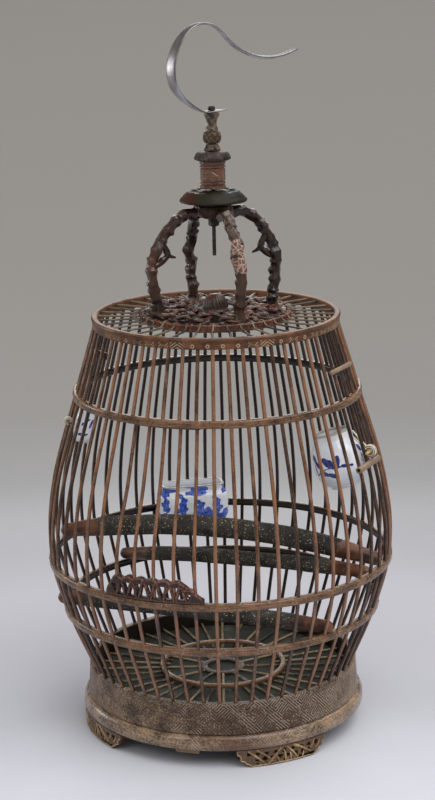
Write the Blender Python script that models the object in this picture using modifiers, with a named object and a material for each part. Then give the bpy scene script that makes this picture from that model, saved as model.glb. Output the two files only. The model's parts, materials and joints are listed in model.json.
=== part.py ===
"""Bamboo bird cage with a carved crown, a swivelling hook, a sliding door and three feeding pots.

Metres, +Z up. The origin is the middle of the footprint, on the surface that the feet stand on.
Azimuths are degrees from +X towards +Y, and the front of the cage faces -Y.
"""

import math

import bmesh
import bpy
from mathutils import Matrix, Vector

# Fits shared by every piece
FIT_GAP = 0.0003
WELD_DISTANCE = 0.000004
CUT_OVERRUN = 0.002
FRONT_DEG = -90.0
FULL_TURN_DEG = 360.0
QUARTER_TURN_DEG = 90.0
SMOOTH_ANGLE_DEG = 35.0

# Driving heights, from the surface up
FOOT_HEIGHT = 0.0157
FOOT_RING_HEIGHT = 0.0122
BASE_BAND_HEIGHT = 0.0273
LOWER_BAY_HEIGHT = 0.0525
MIDDLE_BAY_HEIGHT = 0.0430
UPPER_BAY_HEIGHT = 0.1456
TOP_BAY_HEIGHT = 0.0577
TOP_RING_HEIGHT = 0.0093

# Radii of the circle through the bars at each level
MIDDLE_BAR_CIRCLE_RADIUS = 0.1468
LOWER_BAR_CIRCLE_SHARE = 0.922343
UPPER_BAR_CIRCLE_SHARE = 0.823569
LOWER_BAR_CIRCLE_RADIUS = MIDDLE_BAR_CIRCLE_RADIUS * LOWER_BAR_CIRCLE_SHARE
UPPER_BAR_CIRCLE_RADIUS = MIDDLE_BAR_CIRCLE_RADIUS * UPPER_BAR_CIRCLE_SHARE
# The wall bulges between the middle and the upper hoop: (height share, inward share) of that bay
BULGE_SHARES = ((0.21, -0.04), (0.42, 0.10))

# Bars
BAR_COUNT = 54
SECTOR_COUNT = 9
BARS_PER_SECTOR = BAR_COUNT // SECTOR_COUNT
BAR_PITCH_DEG = FULL_TURN_DEG / BAR_COUNT
FIRST_BAR_SHARE = -0.25
BAR_RADIUS = 0.0017
BAR_BEVEL_STEPS = 0

# Hoops
HOOP_WIDTH = 0.0064
HOOP_HEIGHT = 0.0064

# Base: foot ring, engraved band, tray, floor splints
FOOT_RING_RADIUS = 0.1235
FOOT_RING_DEPTH = 0.0155
FOOT_RING_STEP = 0.0022
FOOT_RING_STEP_SHARE = 0.62
BASE_BAND_SETBACK = 0.0044
BASE_BAND_BATTER = 0.0016
BASE_BAND_WALL = 0.0062
BASE_STEPS = 36
FLOOR_DROP = 0.0115
SPLINT_THICKNESS = 0.0020
SPLINT_WIDTH = 0.0030
FLOOR_SPLINT_COUNT = 36
FLOOR_HUB_RADIUS = 0.0185
FLOOR_HUB_BORE_RADIUS = 0.0135
TRAY_BOARD = 0.0036
TRAY_SKIRT = 0.0036
FLOOR_RING_RADIUS = 0.0535
FLOOR_RING_WIDTH = 0.0046
FLOOR_RING_HEIGHT = 0.0032

# Carved feet
FOOT_COUNT = 4
FIRST_FOOT_DEG = -65.8
FOOT_SPAN_DEG = 39.0
FOOT_DEPTH = 0.0080
FOOT_SETBACK = 0.0008
FOOT_STEPS = 12
# The underside: (span share from the middle, height share)
FOOT_EDGE_SHARES = ((0.70, 0.0), (0.82, 0.22), (0.92, 0.38), (1.0, 0.72))
FOOT_HOLE_RADIUS = 0.0030
FOOT_HOLE_SHARES = ((-0.62, 0.52), (-0.31, 0.42), (0.0, 0.55), (0.31, 0.42), (0.62, 0.52))

# Turn button under the foot ring
BUTTON_DEG = -108.0
BUTTON_INSET = 0.0055
BUTTON_WIDTH = 0.0055
BUTTON_THICKNESS = 0.0028
BUTTON_LONG_ARM = 0.0165
BUTTON_SHORT_ARM = 0.0040
BUTTON_PEG_RADIUS = 0.0012
BUTTON_PEG_HEAD_RADIUS = 0.0022
BUTTON_PEG_HEAD_HEIGHT = 0.0010
BUTTON_PEG_DEPTH = 0.0060

# Top ring, its splints and the crown platform
TOP_RING_RADIUS = 0.1063
TOP_RING_DEPTH = 0.0055
TOP_RING_LIP = 0.0010
TOP_RING_LIP_HEIGHT = 0.0030
PETAL_RING_RADIUS = 0.0650
PETAL_RING_WALL = 0.0030
PETAL_RING_HEIGHT = 0.0068
PETAL_RING_RISE = 0.0024
PETAL_COUNT = 36
PETAL_DEPTH = 0.0016
PETAL_STEPS = 3
TOP_SPLINT_COUNT = 36
FIRST_TOP_SPLINT_DEG = -92.0
TOP_SPLINT_RIM = 0.0022
TOP_SPLINT_WIDTH = 0.0024
TOP_SPLINT_THICKNESS = 0.0018
CROWN_PLATE_THICKNESS = 0.0036
CROWN_HOLE_RADIUS = 0.0062
CROWN_HOLE_CIRCLE_RADIUS = 0.0500
CROWN_INNER_HOLE_RADIUS = 0.0044
CROWN_INNER_HOLE_CIRCLE_RADIUS = 0.0290
CROWN_HOLE_SIDES = 7
# Places of the holes between one leg and the next, as shares of that angle
CROWN_HOLE_SHARES = (0.28, 0.5, 0.72)
CROWN_INNER_HOLE_SHARES = (0.0, 0.5)
BOSS_RADIUS = 0.0168
BOSS_RIM_HEIGHT = 0.0022
BOSS_HEIGHT = 0.0136
# The dome over the boss's rim: (radius share, share of the dome's height)
BOSS_SHARES = ((0.40, 0.90), (0.72, 0.58), (0.86, 0.0))

# Crown legs
LEG_COUNT = 4
FIRST_LEG_DEG = 22.0
LEG_GIRTH = 0.0040
LEG_FOOT_RADIUS = 0.0525
LEG_SWAY = 0.0016
LEG_HUB_POINTS = 2
LEG_TOP_SHARE = 0.55
LEG_BEVEL_STEPS = 2
# The route of a leg: (share of the leg's reach from hub to widest, share of its height)
LEG_ROUTE_SHARES = (
    (0.02, 0.975),
    (0.17, 0.985),
    (0.34, 0.960),
    (0.57, 0.880),
    (0.76, 0.760),
    (0.90, 0.640),
    (0.985, 0.500),
    (1.0, 0.360),
    (0.965, 0.230),
    (0.90, 0.120),
)
LEG_GIRTH_SHARES = (0.95, 0.85, 1.12, 0.90, 1.15, 0.92, 1.10, 0.88, 1.12, 0.92, 1.05)
LEG_SWAY_SHARES = (0.0, 0.0, 0.3, -0.5, 0.4, 0.9, -0.6, 0.8, -0.8, 0.3, 0.0)
BARREL_SHARES = {4: 1.45, 5: 1.52, 6: 1.42}
PRONG_GIRTH = 0.0024
PRONG_BEVEL_STEPS = 1
# The fork on two of the legs, in the shares of LEG_ROUTE_SHARES
PRONG_ROUTE_SHARES = ((0.78, 0.735), (0.60, 0.610), (0.46, 0.545), (0.62, 0.480), (0.97, 0.430))

# Neck, from the hub up
LEG_RISE = 0.0900
HUB_RADIUS = 0.0158
HUB_HEIGHT = 0.0118
CANOPY_RADIUS = 0.0285
CANOPY_HEIGHT = 0.0132
DRUM_RADIUS = 0.0110
DRUM_HEIGHT = 0.0232
CAP_DISC_RADIUS = 0.0154
CAP_DISC_HEIGHT = 0.0070
COLLAR_RADIUS = 0.0070
COLLAR_HEIGHT = 0.0060
BEAD_RADIUS = 0.0074
BEAD_HEIGHT = 0.0104
BEAD_SIDES = 6
FINIAL_RADIUS = 0.0066
FINIAL_HEIGHT = 0.0146
NECK_STEPS = 16
ROD_RADIUS = 0.0016
ROD_SIDES = 10
ROD_HEAD_RADIUS = 0.0030
ROD_HEAD_HEIGHT = 0.0034
ROD_HEAD_TOP_SHARE = 0.7
NUT_RADIUS = 0.0046
NUT_HEIGHT = 0.0062
NUT_SIDES = 6
ROD_TAIL = 0.0250
# Outlines of the turned pieces, top first: (radius share, height share)
HUB_SHARES = ((0.86, 1.0), (1.0, 0.86), (1.0, 0.2), (0.7, 0.0))
CANOPY_SHARES = ((0.34, 1.0), (0.52, 0.86), (0.93, 0.62), (1.0, 0.42), (0.93, 0.16), (0.55, 0.0))
DRUM_SHARES = ((1.0, 1.0), (1.0, 0.92), (0.84, 0.86), (0.84, 0.24), (1.0, 0.12), (1.0, 0.0))
CAP_DISC_SHARES = ((0.8, 1.0), (0.97, 0.8), (1.0, 0.45), (0.86, 0.1), (0.78, 0.0))
COLLAR_SHARES = ((0.8, 1.0), (1.0, 0.7), (1.0, 0.0))
BEAD_SHARES = ((0.72, 1.0), (1.0, 0.72), (1.0, 0.28), (0.78, 0.0))
FINIAL_SHARES = ((1.0, 1.0), (0.92, 0.86), (0.52, 0.5), (0.70, 0.12), (0.82, 0.0))
NUT_SHARES = ((0.86, 1.0), (1.0, 0.84), (1.0, 0.16), (0.8, 0.0))

# Hook: a steel band, widest on the back of its curve
HOOK_TURN_DEG = 32.0
HOOK_REACH = 0.0866
HOOK_RISE = 0.0725
HOOK_BAND_WIDTH = 0.0130
HOOK_BAND_THICKNESS = 0.0024
HOOK_SECTION_SIDES = 8
# (reach share, rise share, width share, thickness share) along the band
HOOK_ROUTE_SHARES = (
    (0.170, 0.010, 0.26, 0.60),
    (0.090, 0.002, 0.52, 0.72),
    (0.0, 0.0, 0.60, 0.76),
    (-0.075, 0.0, 0.60, 0.76),
    (-0.150, 0.030, 0.64, 0.80),
    (-0.240, 0.095, 0.74, 0.90),
    (-0.348, 0.200, 0.90, 1.0),
    (-0.425, 0.345, 1.0, 1.0),
    (-0.442, 0.510, 1.0, 1.0),
    (-0.402, 0.700, 0.95, 1.0),
    (-0.318, 0.865, 0.78, 1.0),
    (-0.208, 0.966, 0.58, 1.0),
    (-0.097, 1.0, 0.42, 1.0),
    (0.015, 0.978, 0.34, 1.0),
    (0.112, 0.905, 0.34, 1.0),
    (0.199, 0.798, 0.35, 1.0),
    (0.301, 0.702, 0.33, 1.0),
    (0.418, 0.630, 0.28, 0.95),
    (0.531, 0.588, 0.24, 0.90),
    (0.648, 0.570, 0.22, 0.85),
    (0.806, 0.583, 0.20, 0.80),
    (1.0, 0.646, 0.13, 0.62),
)

# Sliding door
DOOR_FIRST_BAR = -5
DOOR_BAR_COUNT = 5
DOOR_INSET = 0.0059
DOOR_BAR_RADIUS = 0.0016
DOOR_RAIL_DEPTH = 0.0026
DOOR_RAIL_HEIGHT = 0.0040
DOOR_RAIL_DROP = 0.0010
DOOR_RAIL_SINK = 0.0010
DOOR_TRAVEL = 0.0460
PLAQUE_LEFT_DEG = -39.3
PLAQUE_RIGHT_DEG = -5.4
PLAQUE_DEPTH = 0.0056
PLAQUE_HEIGHT = 0.0192
PLAQUE_STEPS = 16
# Top edge from the left end to the right end, as shares of the height
PLAQUE_TOP_SHARES = (
    0.20,
    0.62,
    0.96,
    0.86,
    1.0,
    0.90,
    1.0,
    0.92,
    1.0,
    0.92,
    1.0,
    0.90,
    0.98,
    0.82,
    0.60,
    0.36,
    0.18,
)
PLAQUE_HOLE_RADIUS = 0.0024
# (height share, span share) of each pierced hole
PLAQUE_HOLE_SHARES = ((0.115, 0.34), (0.285, 0.52), (0.475, 0.44), (0.665, 0.52), (0.84, 0.34))

# Perches: each runs from one gap between bars to another and bows up at mid length
PERCH_POINTS = 11
PERCH_TAPER_SHARE = 0.22
PERCH_BEVEL_STEPS = 2
PERCH_A_RADIUS = 0.0084
PERCH_A_END_RADIUS = 0.0052
PERCH_A_BOW = 0.0150
PERCH_B_RADIUS = 0.0060
PERCH_B_END_RADIUS = 0.0046
PERCH_B_BOW = 0.0020
PERCH_C_RADIUS = 0.0066
PERCH_C_END_RADIUS = 0.0044
PERCH_C_BOW = 0.0010
PERCH_C_KNOB_LENGTH = 0.0075
PERCH_A_GAPS = (38, 11)
PERCH_B_GAPS = (33, 9)
PERCH_C_GAPS = (-13, 6)

# Pots and what pins them
DISC_SIDES = 12
POT_WALL = 0.0018
POT_FLOOR = 0.0030
POT_STEPS = 16
LUG_ARM_RADIUS = 0.0018
LUG_BITE = 0.0011
PIN_RADIUS = 0.0016
PIN_SIDES = 8
JAR_GAP = 10
JAR_RADIUS = 0.0220
JAR_HEIGHT = 0.0484
JAR_STANDOFF = 0.0024
JAR_LUG_Z = 0.2520
JAR_LUG_SHARE = 0.52
JAR_SHARES = ((0.0, 0.56), (0.18, 0.87), (0.37, 1.0), (0.62, 0.97), (0.85, 0.82), (1.0, 0.74))
JAR_DISC_RADIUS = 0.0055
JAR_DISC_THICKNESS = 0.0044
JAR_PIN_LENGTH = 0.0220
STAY_GAP = 9.2
STAY_RADIUS = 0.0027
STAY_BORE_RADIUS = 0.0016
STAY_LENGTH = 0.0430
CUP_GAP = -12
CUP_RADIUS = 0.0093
CUP_HEIGHT = 0.0300
CUP_STANDOFF = 0.0009
CUP_LUG_Z = 0.2774
CUP_LUG_SHARE = 0.52
CUP_SHARES = ((0.0, 0.66), (0.16, 0.88), (0.45, 1.0), (0.80, 0.94), (1.0, 0.88))
CUP_DISC_RADIUS = 0.0036
CUP_DISC_THICKNESS = 0.0030
CUP_PIN_LENGTH = 0.0200
TROUGH_BAR = 29
TROUGH_LENGTH = 0.0660
TROUGH_DEPTH = 0.0320
TROUGH_HEIGHT = 0.0342
TROUGH_CORNER_STEPS = 3
TROUGH_CORNER_RADIUS = 0.0110
TROUGH_LUG_SHARE = 0.78
TROUGH_BACK_CLEARANCE = 0.0022
TROUGH_SILL_DROP = 0.0080
TROUGH_DISC_RADIUS = 0.0027
TROUGH_DISC_THICKNESS = 0.0030
TROUGH_PIN_LENGTH = 0.0260

# Small fittings
SPARE_PEG_GAP = 9
SPARE_PEG_RADIUS = 0.0022
SPARE_PEG_LENGTH = 0.0400
SPARE_PEG_RISE = 0.0276
BRACKET_BAR = 41
BRACKET_RISE = 0.0345
BRACKET_LENGTH = 0.0185
BRACKET_HEIGHT = 0.0110
BRACKET_THICKNESS = 0.0032
# Outline of the cloud bracket, as shares of its length from the bar and of its height
BRACKET_SHARES = (
    (0.0, -0.60),
    (0.20, -0.44),
    (0.34, -0.14),
    (0.58, -0.02),
    (0.82, -0.12),
    (1.0, 0.20),
    (0.94, 0.46),
    (0.62, 0.40),
    (0.32, 0.50),
    (0.12, 0.32),
    (0.0, 0.16),
)

# Levels worked out from the heights
FOOT_RING_Z = FOOT_HEIGHT + FIT_GAP
BASE_BAND_Z = FOOT_RING_Z + FOOT_RING_HEIGHT + FIT_GAP
BASE_BAND_TOP_Z = BASE_BAND_Z + BASE_BAND_HEIGHT
LOWER_HOOP_Z = BASE_BAND_TOP_Z + LOWER_BAY_HEIGHT
MIDDLE_HOOP_Z = LOWER_HOOP_Z + MIDDLE_BAY_HEIGHT
UPPER_HOOP_Z = MIDDLE_HOOP_Z + UPPER_BAY_HEIGHT
TOP_RING_Z = UPPER_HOOP_Z + TOP_BAY_HEIGHT
TOP_RING_TOP_Z = TOP_RING_Z + TOP_RING_HEIGHT
BASE_BAND_LOW_RADIUS = FOOT_RING_RADIUS - BASE_BAND_SETBACK
BASE_BAND_TOP_RADIUS = BASE_BAND_LOW_RADIUS - BASE_BAND_BATTER
BASE_BAND_BORE = BASE_BAND_TOP_RADIUS - BASE_BAND_WALL
FOOT_RING_BORE = FOOT_RING_RADIUS - FOOT_RING_DEPTH
TOP_RING_BORE = TOP_RING_RADIUS - TOP_RING_DEPTH
BASE_BAR_CIRCLE_RADIUS = BASE_BAND_TOP_RADIUS - BASE_BAND_WALL / 2
TOP_BAR_CIRCLE_RADIUS = TOP_RING_RADIUS - TOP_RING_DEPTH / 2
# A leaning bar's square end dips by its radius times the sine of its lean
BARS_LOW_LEAN = math.atan2(LOWER_BAR_CIRCLE_RADIUS - BASE_BAR_CIRCLE_RADIUS, LOWER_BAY_HEIGHT)
BARS_TOP_LEAN = math.atan2(UPPER_BAR_CIRCLE_RADIUS - TOP_BAR_CIRCLE_RADIUS, TOP_BAY_HEIGHT)
BARS_LOW_Z = BASE_BAND_TOP_Z + FIT_GAP + BAR_RADIUS * math.sin(BARS_LOW_LEAN)
BARS_TOP_Z = TOP_RING_Z - FIT_GAP - BAR_RADIUS * math.sin(BARS_TOP_LEAN)
SPLINT_Z = BASE_BAND_TOP_Z - FLOOR_DROP - SPLINT_THICKNESS
PETAL_RING_Z = TOP_RING_TOP_Z + PETAL_RING_RISE - PETAL_RING_HEIGHT
CROWN_PLATE_TOP_Z = TOP_RING_TOP_Z + PETAL_RING_RISE
HUB_Z = CROWN_PLATE_TOP_Z + LEG_RISE - HUB_HEIGHT
CANOPY_Z = HUB_Z + HUB_HEIGHT + FIT_GAP
DRUM_Z = CANOPY_Z + CANOPY_HEIGHT + FIT_GAP
CAP_DISC_Z = DRUM_Z + DRUM_HEIGHT + FIT_GAP
COLLAR_Z = CAP_DISC_Z + CAP_DISC_HEIGHT + FIT_GAP
BEAD_Z = COLLAR_Z + COLLAR_HEIGHT + FIT_GAP
FINIAL_Z = BEAD_Z + BEAD_HEIGHT + FIT_GAP
EYE_THICKNESS = HOOK_BAND_THICKNESS * HOOK_ROUTE_SHARES[2][3]
EYE_Z = FINIAL_Z + FINIAL_HEIGHT + FIT_GAP + EYE_THICKNESS / 2
ROD_BORE = ROD_RADIUS + FIT_GAP
# A pin lies across the outer faces of two bars
PIN_OFFSET = BAR_RADIUS + FIT_GAP + PIN_RADIUS
STAY_DROP = JAR_DISC_RADIUS + FIT_GAP + STAY_RADIUS

# Corners of the bars' route, from the base band to the top ring, as (radius, height)
WALL_ROUTE = (
    (BASE_BAR_CIRCLE_RADIUS, BARS_LOW_Z),
    (LOWER_BAR_CIRCLE_RADIUS, LOWER_HOOP_Z),
    (MIDDLE_BAR_CIRCLE_RADIUS, MIDDLE_HOOP_Z),
    *(
        (
            MIDDLE_BAR_CIRCLE_RADIUS + (UPPER_BAR_CIRCLE_RADIUS - MIDDLE_BAR_CIRCLE_RADIUS) * inward,
            MIDDLE_HOOP_Z + UPPER_BAY_HEIGHT * height,
        )
        for height, inward in BULGE_SHARES
    ),
    (UPPER_BAR_CIRCLE_RADIUS, UPPER_HOOP_Z),
    (TOP_BAR_CIRCLE_RADIUS, BARS_TOP_Z),
)
MIDDLE_CORNER_INDEX = 2
UPPER_CORNER_INDEX = len(WALL_ROUTE) - 2

COLLECTION = "bamboo_bird_cage"
CUTTER_COLLECTION = "bird_cage_cutters"


def polar(radius, azimuth_deg, z=0.0):
    angle = math.radians(azimuth_deg)
    return Vector((radius * math.cos(angle), radius * math.sin(angle), z))


def bar_azimuth(index):
    """Azimuth of a bar; halves give the gap between two bars."""
    return FRONT_DEG + BAR_PITCH_DEG * (index + FIRST_BAR_SHARE)


def gap_azimuth(index):
    return bar_azimuth(index + 0.5)


def wall_at(z):
    """Radius of the bars' centre line at a height, and its slope in radius per height."""
    for (low_r, low_z), (high_r, high_z) in zip(WALL_ROUTE, WALL_ROUTE[1:]):
        if z <= high_z:
            break
    slope = (high_r - low_r) / (high_z - low_z)
    return low_r + slope * (z - low_z), slope


def wall_frame(azimuth_deg, z):
    """Matrix on the bars' surface of revolution: X outwards, Y along the hoop, Z up the bar."""
    radius, slope = wall_at(z)
    turn = Matrix.Rotation(math.radians(azimuth_deg), 4, "Z")
    lean = Matrix.Rotation(math.atan(slope), 4, "Y")
    return turn @ Matrix.Translation((radius, 0, z)) @ lean


def remove_scene_objects():
    for obj in list(bpy.data.objects):
        bpy.data.objects.remove(obj, do_unlink=True)


def named_collection(name):
    collection = bpy.data.collections.new(name)
    bpy.context.scene.collection.children.link(collection)
    return collection


def principled(name, colour, roughness, metallic=0.0):
    material = bpy.data.materials.new(name)
    material.use_nodes = True
    shader = material.node_tree.nodes["Principled BSDF"]
    shader.inputs["Base Color"].default_value = (*colour, 1.0)
    shader.inputs["Roughness"].default_value = roughness
    shader.inputs["Metallic"].default_value = metallic
    material.diffuse_color = (*colour, 1.0)
    return material


def shaded(mesh):
    mesh.shade_smooth()
    mesh.set_sharp_from_angle(angle=math.radians(SMOOTH_ANGLE_DEG))
    return mesh


def add_mesh(name, mesh, material=None):
    """Put a mesh in the part's collection as an object of its own."""
    obj = bpy.data.objects.new(name, mesh)
    bpy.data.collections[COLLECTION].objects.link(obj)
    if material:
        mesh.materials.clear()
        mesh.materials.append(material)
    return obj


def closed_mesh(name, bm):
    """Weld a bmesh, turn its faces outwards and store it."""
    bmesh.ops.remove_doubles(bm, verts=bm.verts, dist=WELD_DISTANCE)
    bmesh.ops.recalc_face_normals(bm, faces=bm.faces)
    mesh = bpy.data.meshes.new(name)
    bm.to_mesh(mesh)
    bm.free()
    return shaded(mesh)


def baked(obj):
    """Replace an object's data and modifiers by its evaluated mesh, with its caps welded."""
    bpy.context.view_layer.update()
    graph = bpy.context.evaluated_depsgraph_get()
    mesh = bpy.data.meshes.new_from_object(obj.evaluated_get(graph), depsgraph=graph)
    bm = bmesh.new()
    bm.from_mesh(mesh)
    bpy.data.meshes.remove(mesh)
    name, matrix, materials = obj.name, obj.matrix_world.copy(), list(obj.data.materials)
    bpy.data.objects.remove(obj, do_unlink=True)
    solid = add_mesh(name, closed_mesh(name, bm), materials[0] if materials else None)
    solid.matrix_world = matrix
    return solid


def joined(obj, others):
    """Boolean union of an object with helpers, which are removed."""
    for other in others:
        modifier = obj.modifiers.new("join", "BOOLEAN")
        modifier.operation = "UNION"
        modifier.solver = "EXACT"
        modifier.object = other
    result = baked(obj)
    for other in others:
        bpy.data.objects.remove(other, do_unlink=True)
    return result


def as_cutter(obj):
    obj.hide_render = True
    obj.display_type = "WIRE"
    bpy.data.collections[COLLECTION].objects.unlink(obj)
    bpy.data.collections[CUTTER_COLLECTION].objects.link(obj)
    return obj


def cut(obj, cutters):
    for cutter in cutters:
        modifier = obj.modifiers.new("cut", "BOOLEAN")
        modifier.operation = "DIFFERENCE"
        modifier.solver = "EXACT"
        modifier.object = cutter
    return obj


def turned(name, profile, steps, material, start_deg=0.0):
    """Turned solid from (radius, height) corners; a profile clear of the axis is closed to a ring."""
    bm = bmesh.new()
    corners = [bm.verts.new((radius, 0, z)) for radius, z in profile]
    for first, second in zip(corners, corners[1:]):
        bm.edges.new((first, second))
    if profile[0][0] > 0:
        bm.edges.new((corners[-1], corners[0]))
    mesh = bpy.data.meshes.new(name)
    bm.to_mesh(mesh)
    bm.free()
    obj = add_mesh(name, mesh, material)
    screw = obj.modifiers.new("turn", "SCREW")
    screw.axis = "Z"
    screw.angle = math.radians(FULL_TURN_DEG)
    screw.steps = steps
    screw.render_steps = steps
    screw.use_merge_vertices = True
    screw.merge_threshold = WELD_DISTANCE
    obj.rotation_euler.z = math.radians(start_deg)
    return baked(obj)


def ring_block(name, profile, start_deg, sweep_deg, steps, material=None, lift=None):
    """Stretch of a ring: a (radius, height) outline spun about Z. lift(share, z) may move its heights."""
    bm = bmesh.new()
    corners = [bm.verts.new((radius, 0, z)) for radius, z in profile]
    face = bm.faces.new(corners)
    bmesh.ops.spin(
        bm,
        geom=[face, *face.edges, *face.verts],
        cent=(0, 0, 0),
        axis=(0, 0, 1),
        angle=math.radians(sweep_deg),
        steps=steps,
    )
    if lift:
        for vertex in bm.verts:
            angle = math.degrees(math.atan2(vertex.co.y, vertex.co.x))
            vertex.co.z = lift(angle / sweep_deg, vertex.co.z)
    bmesh.ops.rotate(bm, verts=bm.verts, matrix=Matrix.Rotation(math.radians(start_deg), 3, "Z"))
    return add_mesh(name, closed_mesh(name, bm), material)


def rods(name, routes, radii, material=None, bevel_steps=BAR_BEVEL_STEPS):
    """Round rods with filled caps, one for each route; radii holds one radius for each point."""
    curve = bpy.data.curves.new(name, "CURVE")
    curve.dimensions = "3D"
    curve.bevel_depth = max(radii)
    curve.bevel_resolution = bevel_steps
    curve.use_fill_caps = True
    for route in routes:
        spline = curve.splines.new("POLY")
        spline.points.add(len(route) - 1)
        for point, place, radius in zip(spline.points, route, radii):
            point.co = (*place, 1.0)
            point.radius = radius / max(radii)
    if material:
        curve.materials.append(material)
    obj = bpy.data.objects.new(name, curve)
    bpy.data.collections[COLLECTION].objects.link(obj)
    return baked(obj)


def rod_between(name, start, end, radius, material=None, sides=PIN_SIDES):
    """Straight cylinder between two points."""
    start, end = Vector(start), Vector(end)
    bm = bmesh.new()
    bmesh.ops.create_cone(
        bm, cap_ends=True, segments=sides, radius1=radius, radius2=radius, depth=(end - start).length
    )
    turn = (end - start).to_track_quat("Z", "Y").to_matrix().to_4x4()
    bmesh.ops.transform(bm, matrix=Matrix.Translation((start + end) / 2) @ turn, verts=bm.verts)
    return add_mesh(name, closed_mesh(name, bm), material)


def plate(name, outlines, z, thickness, material=None):
    """Flat plate from closed outlines in XY, the later ones being holes in the first."""
    curve = bpy.data.curves.new(name, "CURVE")
    curve.dimensions = "2D"
    curve.fill_mode = "BOTH"
    curve.extrude = thickness / 2
    for outline in outlines:
        spline = curve.splines.new("POLY")
        spline.points.add(len(outline) - 1)
        spline.use_cyclic_u = True
        for point, (x, y) in zip(spline.points, outline):
            point.co = (x, y, 0, 1.0)
    if material:
        curve.materials.append(material)
    obj = bpy.data.objects.new(name, curve)
    bpy.data.collections[COLLECTION].objects.link(obj)
    obj.location.z = z + thickness / 2
    return baked(obj)


def circle(radius, sides, centre=(0.0, 0.0), start_deg=0.0):
    """Corners of a regular polygon in XY."""
    corners = []
    for step in range(sides):
        corner = polar(radius, start_deg + FULL_TURN_DEG * step / sides)
        corners.append((centre[0] + corner.x, centre[1] + corner.y))
    return corners


def bar_route(index, first_level, last_level):
    return [polar(radius, bar_azimuth(index), z) for radius, z in WALL_ROUTE[first_level : last_level + 1]]


def is_door_bar(index):
    """Whether a bar of the wall is broken by the doorway."""
    return (index - DOOR_FIRST_BAR) % BAR_COUNT < DOOR_BAR_COUNT


def bar_set(name, indices, first_level, last_level, radius, material=None):
    routes = [bar_route(index, first_level, last_level) for index in indices]
    return rods(name, routes, [radius] * (last_level - first_level + 1), material)


def hoop_profile(bar_circle, z, grow=0.0):
    """Outline of a hoop strip; grow widens it all round for a clearance."""
    inner = bar_circle - HOOP_WIDTH / 2 - grow
    outer = bar_circle + HOOP_WIDTH / 2 + grow
    low = z - HOOP_HEIGHT / 2 - grow
    high = z + HOOP_HEIGHT / 2 + grow
    return ((inner, high), (outer, high), (outer, low), (inner, low))


def hoop(name, bar_circle, z, material):
    """Whole hoop with one facet for each bar."""
    profile = hoop_profile(bar_circle, z)
    return turned(name, profile, BAR_COUNT, material, gap_azimuth(0))


def build_bar_clearances():
    """Cutters a fit gap larger than the bars: all of them, and those that cross the upper hoop."""
    last = len(WALL_ROUTE) - 1
    radius = BAR_RADIUS + FIT_GAP * math.sqrt(2.0)
    everywhere = as_cutter(bar_set("clear_bars", range(BAR_COUNT), 0, last, radius))
    kept = [index for index in range(BAR_COUNT) if not is_door_bar(index)]
    upper = as_cutter(bar_set("clear_upper_bars", kept, UPPER_CORNER_INDEX - 1, last, radius))
    return everywhere, upper


def build_wall_sectors(material):
    """Sectors of bars, each held by its stretch of the middle hoop."""
    last = len(WALL_ROUTE) - 1
    slit_deg = math.degrees(FIT_GAP / MIDDLE_BAR_CIRCLE_RADIUS)
    profile = hoop_profile(MIDDLE_BAR_CIRCLE_RADIUS, MIDDLE_HOOP_Z)
    for sector in range(SECTOR_COUNT):
        first = DOOR_FIRST_BAR - 1 + sector * BARS_PER_SECTOR
        indices = range(first, first + BARS_PER_SECTOR)
        name = f"wall_sector_{sector + 1}"
        start = gap_azimuth(first - 1) + slit_deg / 2
        sweep = BAR_PITCH_DEG * BARS_PER_SECTOR - slit_deg
        segment = ring_block(name, profile, start, sweep, BARS_PER_SECTOR, material)
        whole = [index for index in indices if not is_door_bar(index)]
        short = [index for index in indices if is_door_bar(index)]
        helpers = [bar_set("whole_bars", whole, 0, last, BAR_RADIUS)]
        if short:
            helpers.append(bar_set("sill_bars", short, 0, MIDDLE_CORNER_INDEX, BAR_RADIUS))
        joined(segment, helpers)


def build_hoops(material, clear_bars, clear_upper_bars):
    """Lower hoop, drilled for every bar, and upper hoop, which carries the bars over the door."""
    lower = hoop("hoop_lower", LOWER_BAR_CIRCLE_RADIUS, LOWER_HOOP_Z, material)
    cut(lower, [clear_bars])
    upper = hoop("hoop_upper", UPPER_BAR_CIRCLE_RADIUS, UPPER_HOOP_Z, material)
    over_door = range(DOOR_FIRST_BAR, DOOR_FIRST_BAR + DOOR_BAR_COUNT)
    last = len(WALL_ROUTE) - 1
    upper = joined(upper, [bar_set("over_door_bars", over_door, UPPER_CORNER_INDEX, last, BAR_RADIUS)])
    cut(upper, [clear_upper_bars])


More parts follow.
